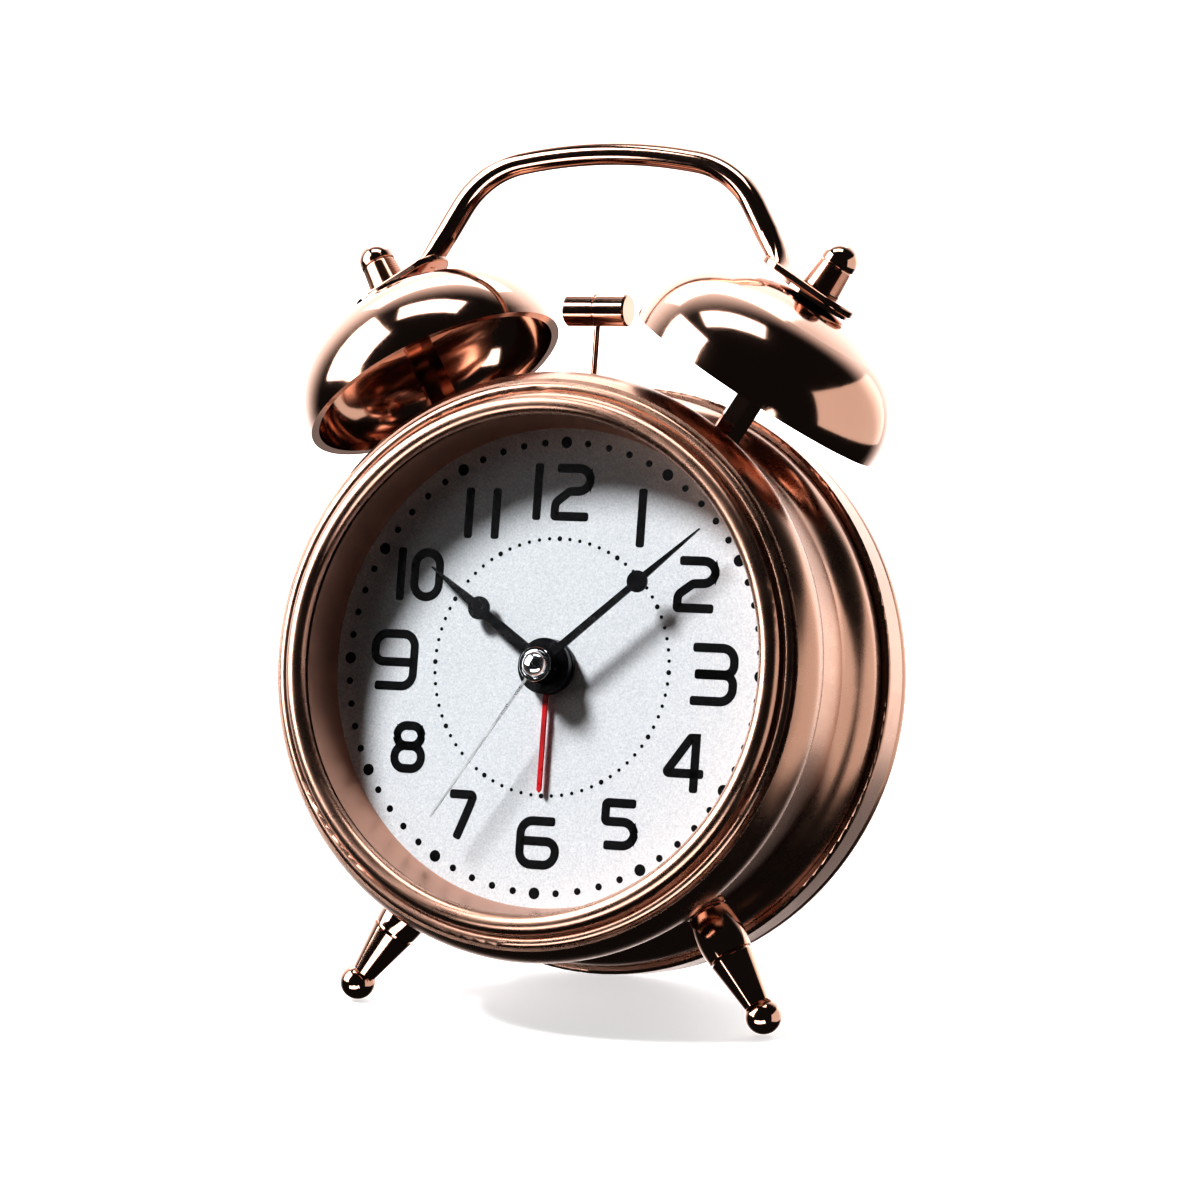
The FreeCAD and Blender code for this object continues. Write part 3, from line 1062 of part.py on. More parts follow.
def make_rear():
    front, back = S["cover_front"], S["cover_back"]
    height = S["battery_height"]
    knob_hole = S["knob_hole_radius"]
    holes = [(*TIME_KNOB, knob_hole), (*ALARM_KNOB, knob_hole),
             (S["button_side"], S["button_height"], S["button_hole_radius"])]
    holes += [(x, z, S["screw_radius"] + 0.1) for x, z in PILLARS]
    disc = plate("rear_cover", (0, 0, S["cover_radius"]), front, back, holes)
    gap = S["door_gap"]
    door_w, door_h = S["door_half_width"], S["door_half_height"]
    opening = block("battery_opening", (-door_w - gap, front - 1, height - door_h - gap),
                    (door_w + gap, back + 1, height + door_h + gap))
    side, level = S["switch_side"], S["switch_height"]
    slot_width, slot_length = S["switch_half_width"] + gap, S["switch_half_length"] + gap
    slot = block("switch_slot", (side - slot_width, front - 1, level - slot_length),
                 (side + slot_width, back + 1, level + slot_length + S["switch_travel"]))
    tray_w, tray_h, wall = S["tray_half_width"], S["tray_half_height"], S["tray_wall"]
    tray = block("tray_outer", (-tray_w, S["tray_front"], height - tray_h),
                 (tray_w, front + 0.4, height + tray_h))
    room = block("tray_inner", (-tray_w + wall, S["tray_front"] + wall, height - tray_h + wall),
                 (tray_w - wall, front, height + tray_h - wall))
    keep("rear_cover", cut("rear_cover", fuse("cover_and_tray", [disc, tray]), [opening, room, slot]))
    screws = []
    long_half, thin_half = S["cross_half_length"], S["cross_half_width"]
    cross_front = S["cover_back"] + S["screw_head_height"] - S["cross_depth"]
    for index, (x, z) in enumerate(PILLARS):
        seat = number("cover_back") + TOUCH
        head = cylinder("cover_head_%d" % index, S["screw_head_radius"], S["screw_head_height"],
                        along_y(x, seat, z))
        shank = cylinder("cover_shank_%d" % index, S["screw_radius"], S["cover_screw_length"],
                         along_y(x, number("cover_screw_front"), z))
        cross = []
        for wide, tall in ((long_half, thin_half), (thin_half, long_half)):
            cross.append(block("cross_%d_%d" % (index, len(cross)), (x - wide, cross_front, z - tall),
                               (x + wide, cross_front + 1, z + tall)))
        screws.append(cut("cover_screw_%d" % index, fuse("cover_screw_%d" % index, [head, shank]), cross))
    keep("cover_screws", group("cover_screws", screws))
    radius, length = S["battery_radius"], number("battery_length")
    depth, low = number("battery_depth"), number("battery_height")
    can = cylinder("battery_can", radius, length, across(-length / 2, depth, low))
    nub = cylinder("battery_nub", S["nub_radius"], S["nub_length"], across(length / 2, depth, low))
    keep("battery", fuse("battery", [can, nub]))
    inside = number("tray_half_width") - number("tray_wall")
    half, near, far = number("contact_half_width"), 0.05, 0.45
    plus = block("contact_plus", (inside - far, depth - half, low - half),
                 (inside - near, depth + half, low + half))
    minus = block("contact_minus", (-inside + near, depth - half, low - half),
                  (-inside + far, depth + half, low + half))
    turns = []
    wire, pitch = number("spring_wire_radius"), number("spring_pitch")
    for index in range(int(number("spring_turns"))):
        ring = document.addObject("Part::Torus", "spring_turn_%d" % index)
        ring.Radius1 = number("spring_radius") - number("spring_taper") * index
        ring.Radius2 = wire
        ring.Placement = across(-inside + far + 0.9 * wire + pitch * index, depth, low)
        turns.append(ring)
    keep("battery_contacts", group("battery_contacts", [plus, fuse("minus_spring", [minus] + turns)]))
    door = block("door_panel", (-door_w, front, height - door_h), (door_w, back - 0.1, height + door_h))
    ribs = []
    tall, wide = S["rib_half_height"], S["rib_width"]
    for index in range(4):
        start = S["rib_side"] + wide * (2 * index)
        ribs.append(block("door_rib_%d" % index, (start, back - 0.15, height - tall),
                          (start + wide, back + S["rib_proud"], height + tall)))
    keep("battery_door", fuse("battery_door", [door] + ribs))

    x, z = number("button_side"), number("button_height")
    flange_front, stem_front = number("flange_front"), number("button_stem_front")
    button = cylinder("button_cap", S["button_radius"], S["button_back"] - flange_front,
                      along_y(x, flange_front, z))
    flange = cylinder("button_flange", S["flange_radius"], S["flange_thickness"],
                      along_y(x, flange_front, z))
    stem = cylinder("button_stem", S["button_stem_radius"], flange_front - stem_front + 0.1,
                    along_y(x, stem_front, z))
    keep("light_button", fuse("light_button", [button, flange, stem]))
    dome_front = number("housing_back") + 0.05
    dome_back = stem_front - number("button_travel") - 0.35
    dome = cylinder("light_switch_dome", S["dome_radius"], dome_back - dome_front,
                    along_y(x, dome_front, z))
    keep("light_switch", dome)
    x, z = number("switch_side"), number("switch_height")
    half_w, half_l = S["switch_half_width"], S["switch_half_length"]
    foot_front, foot_back = S["switch_foot_front"], S["switch_foot_back"]
    lever = block("switch_lever", (x - half_w, foot_front, z - half_l),
                  (x + half_w, S["switch_back"], z + half_l))
    foot = block("switch_foot", (x - 2 * half_w, foot_front, z - half_l - 1),
                 (x + 2 * half_w, foot_back, z + half_l + 1))
    grips = []
    pitch, wide, deep = number("grip_pitch"), number("grip_width"), number("grip_depth")
    for index in range(3):
        low = z - number("switch_half_length") + pitch * (index + 0.8)
        grips.append(block("switch_notch_%d" % index, (x - 2 * half_w, S["switch_back"] - deep, low),
                           (x + 2 * half_w, S["switch_back"] + deep, low + wide)))
    keep("alarm_switch", cut("alarm_switch", fuse("alarm_switch", [lever, foot]), grips))


# ---- assembly ------------------------------------------------------------------------------------------

def lean_angle():
    """Backward lean at which the flats of the feet and the rear rim's bead touch one plane."""
    bead = arc_centre(Vector(number("rim_groove_radius"),
                             number("rim_band_back") + number("rim_groove_width"), 0),
                      Vector(number("rim_back_radius"), number("rim_back"), 0), number("rim_bead_arc"))
    rise = bead.x - number("foot_drop")
    run = bead.y - number("leg_depth")
    reach = number("foot_radius") - number("foot_flat") - number("rim_bead_arc")
    return math.degrees(math.asin(reach / math.hypot(rise, run)) - math.atan2(rise, run))


def stand_up():
    """Placement of the clock frame on the table, before it is centred front to back."""
    lean = lean_angle()
    turn = Rotation(Vector(1, 0, 0), -lean)
    foot = turn.multVec(Vector(0, number("leg_depth"), -number("foot_drop")))
    drop = number("foot_radius") - number("foot_flat") - foot.z
    return Placement(Vector(0, 0, drop), turn)


def build():
    standing = stand_up()
    make_front()
    make_drum()
    make_legs(standing)
    make_case_nuts()
    make_bells()
    make_handle()
    make_hammer()
    make_striker()
    make_train()
    make_hands()
    make_movement()
    make_rear()
    document.recompute()
    for part in parts.values():
        part.Placement = standing.multiply(part.Placement)
    document.recompute()
    depths = [point.y for part in parts.values() for point in part.Shape.tessellate(0.02)[0]]
    centring = at(0, -(min(depths) + max(depths)) / 2, 0)
    for part in parts.values():
        part.Placement = centring.multiply(part.Placement)
    document.recompute()
    return centring.multiply(standing)


def check_and_write(frame):
    for item in document.Objects:
        if "Invalid" in item.State or "Error" in item.State:
            raise RuntimeError("%s did not build: %s" % (item.Label, item.State))
    os.makedirs("parts", exist_ok=True)
    for name, part in parts.items():
        if part.Shape.isNull() or not part.Shape.isValid():
            raise RuntimeError("%s has no valid shape" % name)
        part.Shape.exportStep(os.path.join("parts", name + ".step"))
    print("%d sub-parts written" % len(parts))
    print("lean %.4f origin %.4f %.4f %.4f" % (lean_angle(), *frame.Base))


check_and_write(build())
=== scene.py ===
import json
import math

import bpy
from mathutils import Matrix, Vector


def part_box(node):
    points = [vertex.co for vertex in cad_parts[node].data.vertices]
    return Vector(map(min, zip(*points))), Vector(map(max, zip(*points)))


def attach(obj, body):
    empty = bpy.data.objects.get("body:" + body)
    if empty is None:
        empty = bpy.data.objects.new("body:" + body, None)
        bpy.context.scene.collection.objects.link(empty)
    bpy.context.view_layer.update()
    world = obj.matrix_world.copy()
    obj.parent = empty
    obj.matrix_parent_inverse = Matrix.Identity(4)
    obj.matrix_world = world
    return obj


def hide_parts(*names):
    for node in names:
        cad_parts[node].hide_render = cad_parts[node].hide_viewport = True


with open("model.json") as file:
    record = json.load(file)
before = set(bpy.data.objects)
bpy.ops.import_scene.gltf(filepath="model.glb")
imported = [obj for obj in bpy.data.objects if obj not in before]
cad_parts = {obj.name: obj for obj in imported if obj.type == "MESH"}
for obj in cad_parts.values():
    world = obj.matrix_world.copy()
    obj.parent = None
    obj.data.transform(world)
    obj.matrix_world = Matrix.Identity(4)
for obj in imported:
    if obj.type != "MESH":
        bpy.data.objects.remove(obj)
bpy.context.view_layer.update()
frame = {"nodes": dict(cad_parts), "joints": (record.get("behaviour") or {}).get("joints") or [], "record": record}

MM = 0.001
CASE = "case"

# ---- the clock's own frame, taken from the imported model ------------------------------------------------
# X to the reader's right, Y into the clock, Z towards 12, origin at the middle of the dial's face.

joints = {joint["name"]: joint for joint in frame["joints"]}
INTO = Vector(joints["minute_hand_spin"]["axis"]).normalized()
UP = Vector((1, 0, 0)).cross(INTO)
dial_low, dial_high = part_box("dial")
DIAL_THICKNESS = 0.8
DIAL = (dial_low + dial_high) / 2 - INTO * (DIAL_THICKNESS / 2 * MM)
CLOCK = Matrix.Translation(DIAL) @ Matrix(((1, INTO.x, UP.x, 0), (0, INTO.y, UP.y, 0),
                                           (0, INTO.z, UP.z, 0), (0, 0, 0, 1)))


def clock_point(x, y, z):
    """A point of the clock's frame, in millimetres, as a point of the row frame in metres."""
    return CLOCK @ Vector((x * MM, y * MM, z * MM))


def radial(angle, depth, distance=0.0):
    """Matrix in millimetres with its local Z away from the drum's axis, at an angle clockwise from 12."""
    turn = Matrix.Rotation(math.radians(angle), 4, "Y")
    return Matrix.Translation(Vector((0, depth, 0))) @ turn @ Matrix.Translation(Vector((0, 0, distance)))


# ---- materials -----------------------------------------------------------------------------------------

def new_material(name):
    material = bpy.data.materials.new(name)
    material.use_nodes = True
    tree = material.node_tree
    return material, tree, tree.nodes["Principled BSDF"]


def add(tree, kind, **values):
    node = tree.nodes.new(kind)
    for key, value in values.items():
        if key in node.inputs:
            node.inputs[key].default_value = value
        else:
            setattr(node, key, value)
    return node


def noise(tree, scale, detail=3.0, stretch=(1, 1, 1), roughness=0.5):
    """Noise in the piece's own coordinates, in metres."""
    place = add(tree, "ShaderNodeTexCoord")
    mapping = add(tree, "ShaderNodeMapping")
    mapping.inputs["Scale"].default_value = stretch
    tree.links.new(place.outputs["Object"], mapping.inputs["Vector"])
    texture = add(tree, "ShaderNodeTexNoise", Scale=scale, Detail=detail, Roughness=roughness)
    tree.links.new(mapping.outputs["Vector"], texture.inputs["Vector"])
    return texture.outputs["Fac"]


def spread(tree, value, low, high, start=0.3, end=0.7):
    """Map a noise value onto a range."""
    node = add(tree, "ShaderNodeMapRange")
    for name, number in (("From Min", start), ("From Max", end), ("To Min", low), ("To Max", high)):
        node.inputs[name].default_value = number
    tree.links.new(value, node.inputs["Value"])
    return node.outputs["Result"]


def blend_colours(tree, value, first, second):
    node = add(tree, "ShaderNodeMix", data_type="RGBA")
    node.inputs["A"].default_value = (*first, 1)
    node.inputs["B"].default_value = (*second, 1)
    tree.links.new(value, node.inputs["Factor"])
    return node.outputs["Result"]


def bump(tree, shader, value, depth, strength=1.0):
    node = add(tree, "ShaderNodeBump", Strength=strength, Distance=depth)
    tree.links.new(value, node.inputs["Height"])
    tree.links.new(node.outputs["Normal"], shader.inputs["Normal"])


def metal(name, light, dark, smooth, rough, grain=0.0000006, grain_scale=900):
    """Plated metal: faint tarnish in its colour, uneven polish, and a very fine grain."""
    material, tree, shader = new_material(name)
    tarnish = noise(tree, 40, 3)
    tree.links.new(blend_colours(tree, spread(tree, tarnish, 0, 1), dark, light),
                   shader.inputs["Base Color"])
    polish = noise(tree, 160, 4, roughness=0.6)
    tree.links.new(spread(tree, polish, smooth, rough), shader.inputs["Roughness"])
    shader.inputs["Metallic"].default_value = 1
    bump(tree, shader, noise(tree, grain_scale, 4), grain)
    return material


def plastic(name, light, dark, smooth, rough, grain=0.00003, grain_scale=1800, shine=0.5):
    """Moulded plastic or paint with a fine grain."""
    material, tree, shader = new_material(name)
    tone = noise(tree, 90, 3)
    tree.links.new(blend_colours(tree, spread(tree, tone, 0, 1), dark, light), shader.inputs["Base Color"])
    tree.links.new(spread(tree, noise(tree, 500, 4), smooth, rough), shader.inputs["Roughness"])
    shader.inputs["Specular IOR Level"].default_value = shine
    bump(tree, shader, noise(tree, grain_scale, 2), grain)
    return material


def dial_paint():
    """White lacquer with a fine pearl sparkle."""
    material, tree, shader = new_material("dial_paint")
    fleck = noise(tree, 2400, 3, roughness=0.9)
    tree.links.new(blend_colours(tree, spread(tree, fleck, 0, 1), (0.62, 0.65, 0.69), (0.95, 0.96, 0.975)),
                   shader.inputs["Base Color"])
    tree.links.new(spread(tree, noise(tree, 3000, 3), 0.35, 0.6), shader.inputs["Roughness"])
    shader.inputs["Specular IOR Level"].default_value = 0.35
    bump(tree, shader, noise(tree, 4200, 3), 0.00003)
    return material


def clear_glass():
    """Thin flat glass that mirrors a little more at a slant."""
    material, tree, shader = new_material("clear_glass")
    through = add(tree, "ShaderNodeBsdfTransparent")
    through.inputs["Color"].default_value = (0.985, 0.99, 0.992, 1)
    mirror = add(tree, "ShaderNodeBsdfGlossy", Roughness=0.03)
    tree.links.new(spread(tree, noise(tree, 40, 2), 0.02, 0.05), mirror.inputs["Roughness"])
    slant = add(tree, "ShaderNodeLayerWeight", Blend=0.5)
    steep = add(tree, "ShaderNodeMath", operation="POWER")
    steep.inputs[1].default_value = 5
    tree.links.new(slant.outputs["Facing"], steep.inputs[0])
    mix = add(tree, "ShaderNodeMixShader")
    tree.links.new(spread(tree, steep.outputs["Value"], 0.02, 0.9, 0, 1), mix.inputs["Fac"])
    tree.links.new(through.outputs["BSDF"], mix.inputs[1])
    tree.links.new(mirror.outputs["BSDF"], mix.inputs[2])
    tree.links.new(mix.outputs["Shader"], tree.nodes["Material Output"].inputs["Surface"])
    tree.nodes.remove(shader)
    return material


def alarm_hand_paint(hub_radius):
    """Red blade with a black hub, told apart by the distance from the hands' axis."""
    material, tree, shader = new_material("alarm_hand_paint")
    place = add(tree, "ShaderNodeTexCoord")
    to_axis = add(tree, "ShaderNodeVectorMath", operation="SUBTRACT")
    to_axis.inputs[1].default_value = clock_point(0, -1, 0)
    tree.links.new(place.outputs["Object"], to_axis.inputs[0])
    across = add(tree, "ShaderNodeVectorMath", operation="CROSS_PRODUCT")
    across.inputs[1].default_value = INTO
    tree.links.new(to_axis.outputs["Vector"], across.inputs[0])
    length = add(tree, "ShaderNodeVectorMath", operation="LENGTH")
    tree.links.new(across.outputs["Vector"], length.inputs[0])
    outside = add(tree, "ShaderNodeMath", operation="GREATER_THAN")
    outside.inputs[1].default_value = (hub_radius + 0.05) * MM
    tree.links.new(length.outputs["Value"], outside.inputs[0])
    black, red = (0.012, 0.012, 0.014), (0.66, 0.012, 0.02)
    tree.links.new(blend_colours(tree, outside.outputs["Value"], black, red), shader.inputs["Base Color"])
    tree.links.new(spread(tree, noise(tree, 700, 3), 0.25, 0.4), shader.inputs["Roughness"])
    bump(tree, shader, noise(tree, 2500, 2), 0.00001)
    return material


HUB_RADIUS = 5.0
COPPER = metal("polished_copper", (0.64, 0.42, 0.335), (0.56, 0.355, 0.28), 0.08, 0.12)
SATIN_COPPER = metal("satin_copper", (0.60, 0.385, 0.305), (0.52, 0.325, 0.25), 0.24, 0.32)
# The reflector ring gets a paler, brighter copy of the satin copper: painted light that makes the ring look lit
# more than the bezel.
REFLECTOR_COPPER_PAINTED_BRIGHT = metal("reflector_copper_painted_bright", (0.76, 0.475, 0.37), (0.69, 0.42, 0.32), 0.34, 0.44)
BLACK_PAINT = plastic("black_paint", (0.014, 0.014, 0.016), (0.008, 0.008, 0.010), 0.18, 0.3, 0.000004)
INK = plastic("printing_ink", (0.006, 0.006, 0.007), (0.003, 0.003, 0.004), 0.45, 0.6, 0.000004, shine=0.2)
BLACK_PLASTIC = plastic("black_plastic", (0.040, 0.040, 0.043), (0.026, 0.026, 0.028), 0.42, 0.6, 0.00006)
NYLON = plastic("nylon", (0.80, 0.78, 0.71), (0.70, 0.68, 0.61), 0.35, 0.5, 0.00001)
CHROME = metal("chrome", (0.90, 0.90, 0.91), (0.84, 0.84, 0.86), 0.05, 0.1)
STEEL = metal("steel", (0.62, 0.62, 0.63), (0.5, 0.5, 0.52), 0.25, 0.4)
SILVER_PAINT = metal("silver_paint", (0.75, 0.75, 0.76), (0.62, 0.62, 0.64), 0.25, 0.35)
FERRITE = plastic("ferrite", (0.06, 0.06, 0.065), (0.03, 0.03, 0.032), 0.6, 0.8)
GREEN_BOARD = plastic("green_board", (0.02, 0.16, 0.06), (0.01, 0.10, 0.04), 0.25, 0.4)
WINDING = metal("copper_wire", (0.72, 0.33, 0.16), (0.55, 0.22, 0.10), 0.25, 0.35, 0.00003, 3000)
RUBBER = plastic("rubber", (0.03, 0.03, 0.03), (0.018, 0.018, 0.018), 0.75, 0.9)
PALE_RUBBER = plastic("pale_rubber", (0.72, 0.72, 0.70), (0.62, 0.62, 0.60), 0.5, 0.65)
LAMP = plastic("lamp_resin", (0.9, 0.84, 0.62), (0.8, 0.72, 0.5), 0.1, 0.2, 0.000005)
WRAP = plastic("battery_wrap", (0.10, 0.11, 0.13), (0.05, 0.055, 0.065), 0.22, 0.32, 0.000004)

SLOT_MATERIALS = {
    "copper_polished": COPPER, "copper_satin": SATIN_COPPER, "lens_glass": clear_glass(),
    "gasket_rubber": RUBBER, "dial_white": dial_paint(), "carrier_plastic": NYLON,
    "hand_black": BLACK_PAINT, "hand_red": alarm_hand_paint(HUB_RADIUS), "hand_silver": SILVER_PAINT,
    "cap_chrome": CHROME, "black_plastic": BLACK_PLASTIC, "nylon": NYLON, "movement_plastic": NYLON,
    "ferrite": FERRITE, "silicon_steel": STEEL, "steel": STEEL, "coil_wire": WINDING,
    "circuit_green": GREEN_BOARD, "lamp_lens": LAMP, "switch_rubber": PALE_RUBBER, "battery_wrap": WRAP,
}
NODE_MATERIALS = {"reflector_ring": REFLECTOR_COPPER_PAINTED_BRIGHT, "hammer_rod": COPPER}

for entry in frame["record"]["subparts"]:
    node = frame["nodes"][entry["node"]]
    chosen = NODE_MATERIALS.get(entry["node"], SLOT_MATERIALS[entry["material_slot"]])
    node.data.materials.clear()
    node.data.materials.append(chosen)


# ---- mesh helpers --------------------------------------------------------------------------------------

def add_piece(name, points, faces, material, body, matrix=CLOCK, hides=()):
    """New mesh piece from points in millimetres, placed by matrix, riding on a body."""
    mesh = bpy.data.meshes.new(name)
    mesh.from_pydata([matrix @ (Vector(point) * MM) for point in points], [], faces)
    mesh.materials.append(material)
    mesh.validate()
    piece = bpy.data.objects.new(name, mesh)
    bpy.context.scene.collection.objects.link(piece)
    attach(piece, body)
    if hides:
        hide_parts(*hides)
    return piece


def smooth(piece, angle=35):
    mesh = piece.data
    mesh.shade_smooth()
    mesh.set_sharp_from_angle(angle=math.radians(angle))
    return piece


def local_matrix(placement):
    """Row-frame matrix for points in millimetres of a placement given in the clock's frame."""
    moved = placement.copy()
    moved.translation = placement.translation * MM
    return CLOCK @ moved


def turned(name, profile, material, body, matrix, hides=(), steps=96):
    """Piece turned about its local Z from an (r, z) profile that starts and ends on the axis."""
    points, faces, rings = [], [], []
    for r, z in profile:
        ring = [len(points)] if r == 0 else list(range(len(points), len(points) + steps))
        if r == 0:
            points.append((0, 0, z))
        else:
            points.extend((r * math.cos(2 * math.pi * k / steps), r * math.sin(2 * math.pi * k / steps), z)
                          for k in range(steps))
        rings.append(ring)
    for low, high in zip(rings, rings[1:]):
        for k in range(steps):
            following = (k + 1) % steps
            corners = [low[k % len(low)], low[following % len(low)],
                       high[following % len(high)], high[k % len(high)]]
            faces.append(tuple(dict.fromkeys(corners)))
    return smooth(add_piece(name, points, faces, material, body, matrix, hides))


def arc_profile(centre_z, radius, start, end, steps=14):
    """Points of an arc about the axis, from one angle above the horizontal to another, in degrees."""
    points = []
    for step in range(steps + 1):
        degrees = start + (end - start) * step / steps
        angle = math.radians(degrees)
        distance = 0 if degrees == 90 else radius * math.cos(angle)
        points.append((distance, centre_z + radius * math.sin(angle)))
    return points


# ---- cap nuts: a finely grooved barrel under a dome ------------------------------------------------------

BELL_ANGLE, BELL_DEPTH, NUT_SEAT = 31.7, 9.4, 82.1
NUT_FOOT, NUT_BARREL, NUT_DOME, NUT_DOME_RADIUS = 3.6, 5.15, 6.1, 3.3
NUT_TOP, GROOVE_PITCH, GROOVE_DEPTH = 3.2, 0.42, 0.13
SEAT_GAP = 0.02
GROOVE_START = 0.5
NUT_EDGE = 0.15
GROOVE_SHAPE = ((0.1, 0), (0.4, 0), (0.55, GROOVE_DEPTH), (0.85, GROOVE_DEPTH))


def nut_profile():
    """Grooved barrel that narrows upwards, a neck and a dome."""
    profile = [(0, SEAT_GAP), (NUT_FOOT - NUT_EDGE, SEAT_GAP), (NUT_FOOT, NUT_EDGE),
               (NUT_FOOT, GROOVE_START)]
    grooved = NUT_BARREL - GROOVE_START
    for groove in range(int(grooved / GROOVE_PITCH)):
        for share, depth in GROOVE_SHAPE:
            z = GROOVE_START + (groove + share) * GROOVE_PITCH
            outer = NUT_FOOT + (NUT_TOP - NUT_FOOT) * (z - GROOVE_START) / grooved
            profile.append((outer - depth, z))
    profile += [(NUT_TOP - 0.18, NUT_BARREL), (NUT_TOP - 0.18, NUT_BARREL + 0.1)]
    profile += [(NUT_DOME_RADIUS - 0.1, NUT_BARREL + 0.15), (NUT_DOME_RADIUS, NUT_BARREL + 0.25)]
    return profile + arc_profile(NUT_DOME, NUT_DOME_RADIUS, 0, 90, 20)


for side, word in ((-1, "left"), (1, "right")):
    turned(word + "_grooved_cap_nut", nut_profile(), COPPER, CASE,
           local_matrix(radial(side * BELL_ANGLE, BELL_DEPTH, NUT_SEAT)), [word + "_cap_nut"])

# ---- cap of the second hand: a polished dome in a raised ring --------------------------------------------

CAP_BACK = -6.1
CAP_RING = [(0, SEAT_GAP), (3.05, SEAT_GAP), (3.15, 0.15), (3.15, 0.42), (3.02, 0.55), (2.62, 0.55),
            (2.5, 0.42), (2.42, 0.42), (2.35, 0.55)]
DOME_RADIUS, DOME_SEAT, DOME_HEIGHT = 2.3, 0.62, 1.46
dome_angles = [math.radians(degrees) for degrees in range(6, 90, 6)]
cap_dome = [(DOME_RADIUS * math.cos(angle), DOME_SEAT + DOME_HEIGHT * math.sin(angle))
            for angle in dome_angles]
cap_profile = CAP_RING + cap_dome + [(0, DOME_SEAT + DOME_HEIGHT)]
face_reader = Matrix.Translation(Vector((0, CAP_BACK, 0))) @ Matrix.Rotation(math.radians(90), 4, "X")
turned("polished_second_cap", cap_profile, CHROME, "seconds", local_matrix(face_reader),
       ["second_hand_cap"], 64)

# ---- printing on the dial ------------------------------------------------------------------------------

PRINT_PROUD = 0.03


def rounded_path(corners, steps=8):
    """Polyline through (x, z, corner radius) points, each corner turned by an arc."""
    points = []
    last = len(corners) - 1
    for index, corner in enumerate(corners):
        here = Vector(corner[:2])
        radius = corner[2] if len(corner) > 2 else 0
        if index in (0, last) or not radius:
            points.append(here)
            continue
        before = (Vector(corners[index - 1][:2]) - here).normalized()
        after = (Vector(corners[index + 1][:2]) - here).normalized()
        half = before.angle(after) / 2
        reach = radius / math.tan(half)
        middle = here + (before + after).normalized() * (radius / math.sin(half))
        first, final = here + before * reach - middle, here + after * reach - middle
        turn = first.angle_signed(final)
        for step in range(steps + 1):
            angle = -turn * step / steps
            cosine, sine = math.cos(angle), math.sin(angle)
            points.append(middle + Vector((first.x * cosine - first.y * sine,
                                           first.x * sine + first.y * cosine)))
    return points


def ring_path(x, z, half_width, half_height, radius):
    """Closed rounded rectangle as a path that starts and ends in the middle of its top."""
    left, right, low, high = x - half_width, x + half_width, z - half_height, z + half_height
    return rounded_path([(x, high), (right, high, radius), (right, low, radius), (left, low, radius),
                         (left, high, radius), (x, high)])


class Print:
    """Collects flat printed shapes as one thin raised mesh on the dial."""

    def __init__(self):
        self.points, self.faces = [], []

    def vertex(self, x, y, z):
        self.points.append((x, y, z))
        return len(self.points) - 1

    def ribbon(self, path, width):
        """Stroke of even width with softly rounded ends."""
        closed = (path[0] - path[-1]).length < 1e-6
        path = path[:-1] if closed else path
        count = len(path)
        sides = []
        for index, here in enumerate(path):
            before = path[index - 1] if closed or index else here
            after = path[(index + 1) % count] if closed or index < count - 1 else here
            first = (here - before).normalized() if (here - before).length > 1e-9 else None
            second = (after - here).normalized() if (after - here).length > 1e-9 else None
            first, second = first or second, second or first
            tangent = (first + second).normalized()
            normal = Vector((-tangent.y, tangent.x))
            spread_out = 1 / max(0.4, normal.dot(Vector((-first.y, first.x))))
            sides.append((here, normal * (width / 2 * spread_out)))
        if not closed:
            sides = self.soft_end(sides, 0, width) + sides[1:-1] + self.soft_end(sides, -1, width)
        rows = []
        for here, offset in sides:
            left, right = here + offset, here - offset
            rows.append([self.vertex(left.x, 0, left.y), self.vertex(left.x, -PRINT_PROUD, left.y),
                         self.vertex(right.x, -PRINT_PROUD, right.y), self.vertex(right.x, 0, right.y)])
        pairs = list(zip(rows, rows[1:])) + ([(rows[-1], rows[0])] if closed else [])
        for row, following in pairs:
            for k in range(4):
                self.faces.append((row[k], row[(k + 1) % 4], following[(k + 1) % 4], following[k]))
        if not closed:
            self.faces.append(tuple(reversed(rows[0])))
            self.faces.append(tuple(rows[-1]))

    @staticmethod
    def soft_end(sides, index, width):
        """Sections that round the two corners of a stroke's end."""
        here, offset = sides[index]
        neighbour = sides[1 if index == 0 else -2][0]
        outward = (here - neighbour).normalized()
        corner = 0.3 * width
        made = []
        for step in range(5):
            angle = math.pi / 2 * step / 4
            inset = corner * (1 - math.cos(angle))
            made.append((here - outward * (corner * (1 - math.sin(angle))),
                         offset * (1 - inset / (width / 2))))
        return made[::-1] if index == 0 else made

    def dot(self, x, z, radius, sides):
        top = [self.vertex(x + radius * math.cos(2 * math.pi * k / sides), -PRINT_PROUD,
                           z + radius * math.sin(2 * math.pi * k / sides)) for k in range(sides)]
        low = [self.vertex(self.points[k][0], 0, self.points[k][2]) for k in top]
        self.faces.append(tuple(top))
        self.faces.append(tuple(reversed(low)))
        for k in range(sides):
            following = (k + 1) % sides
            self.faces.append((top[k], low[k], low[following], top[following]))

    def finish(self, name, material, matrix=CLOCK):
        return add_piece(name, self.points, self.faces, material, CASE, matrix)


STROKE = 1.6


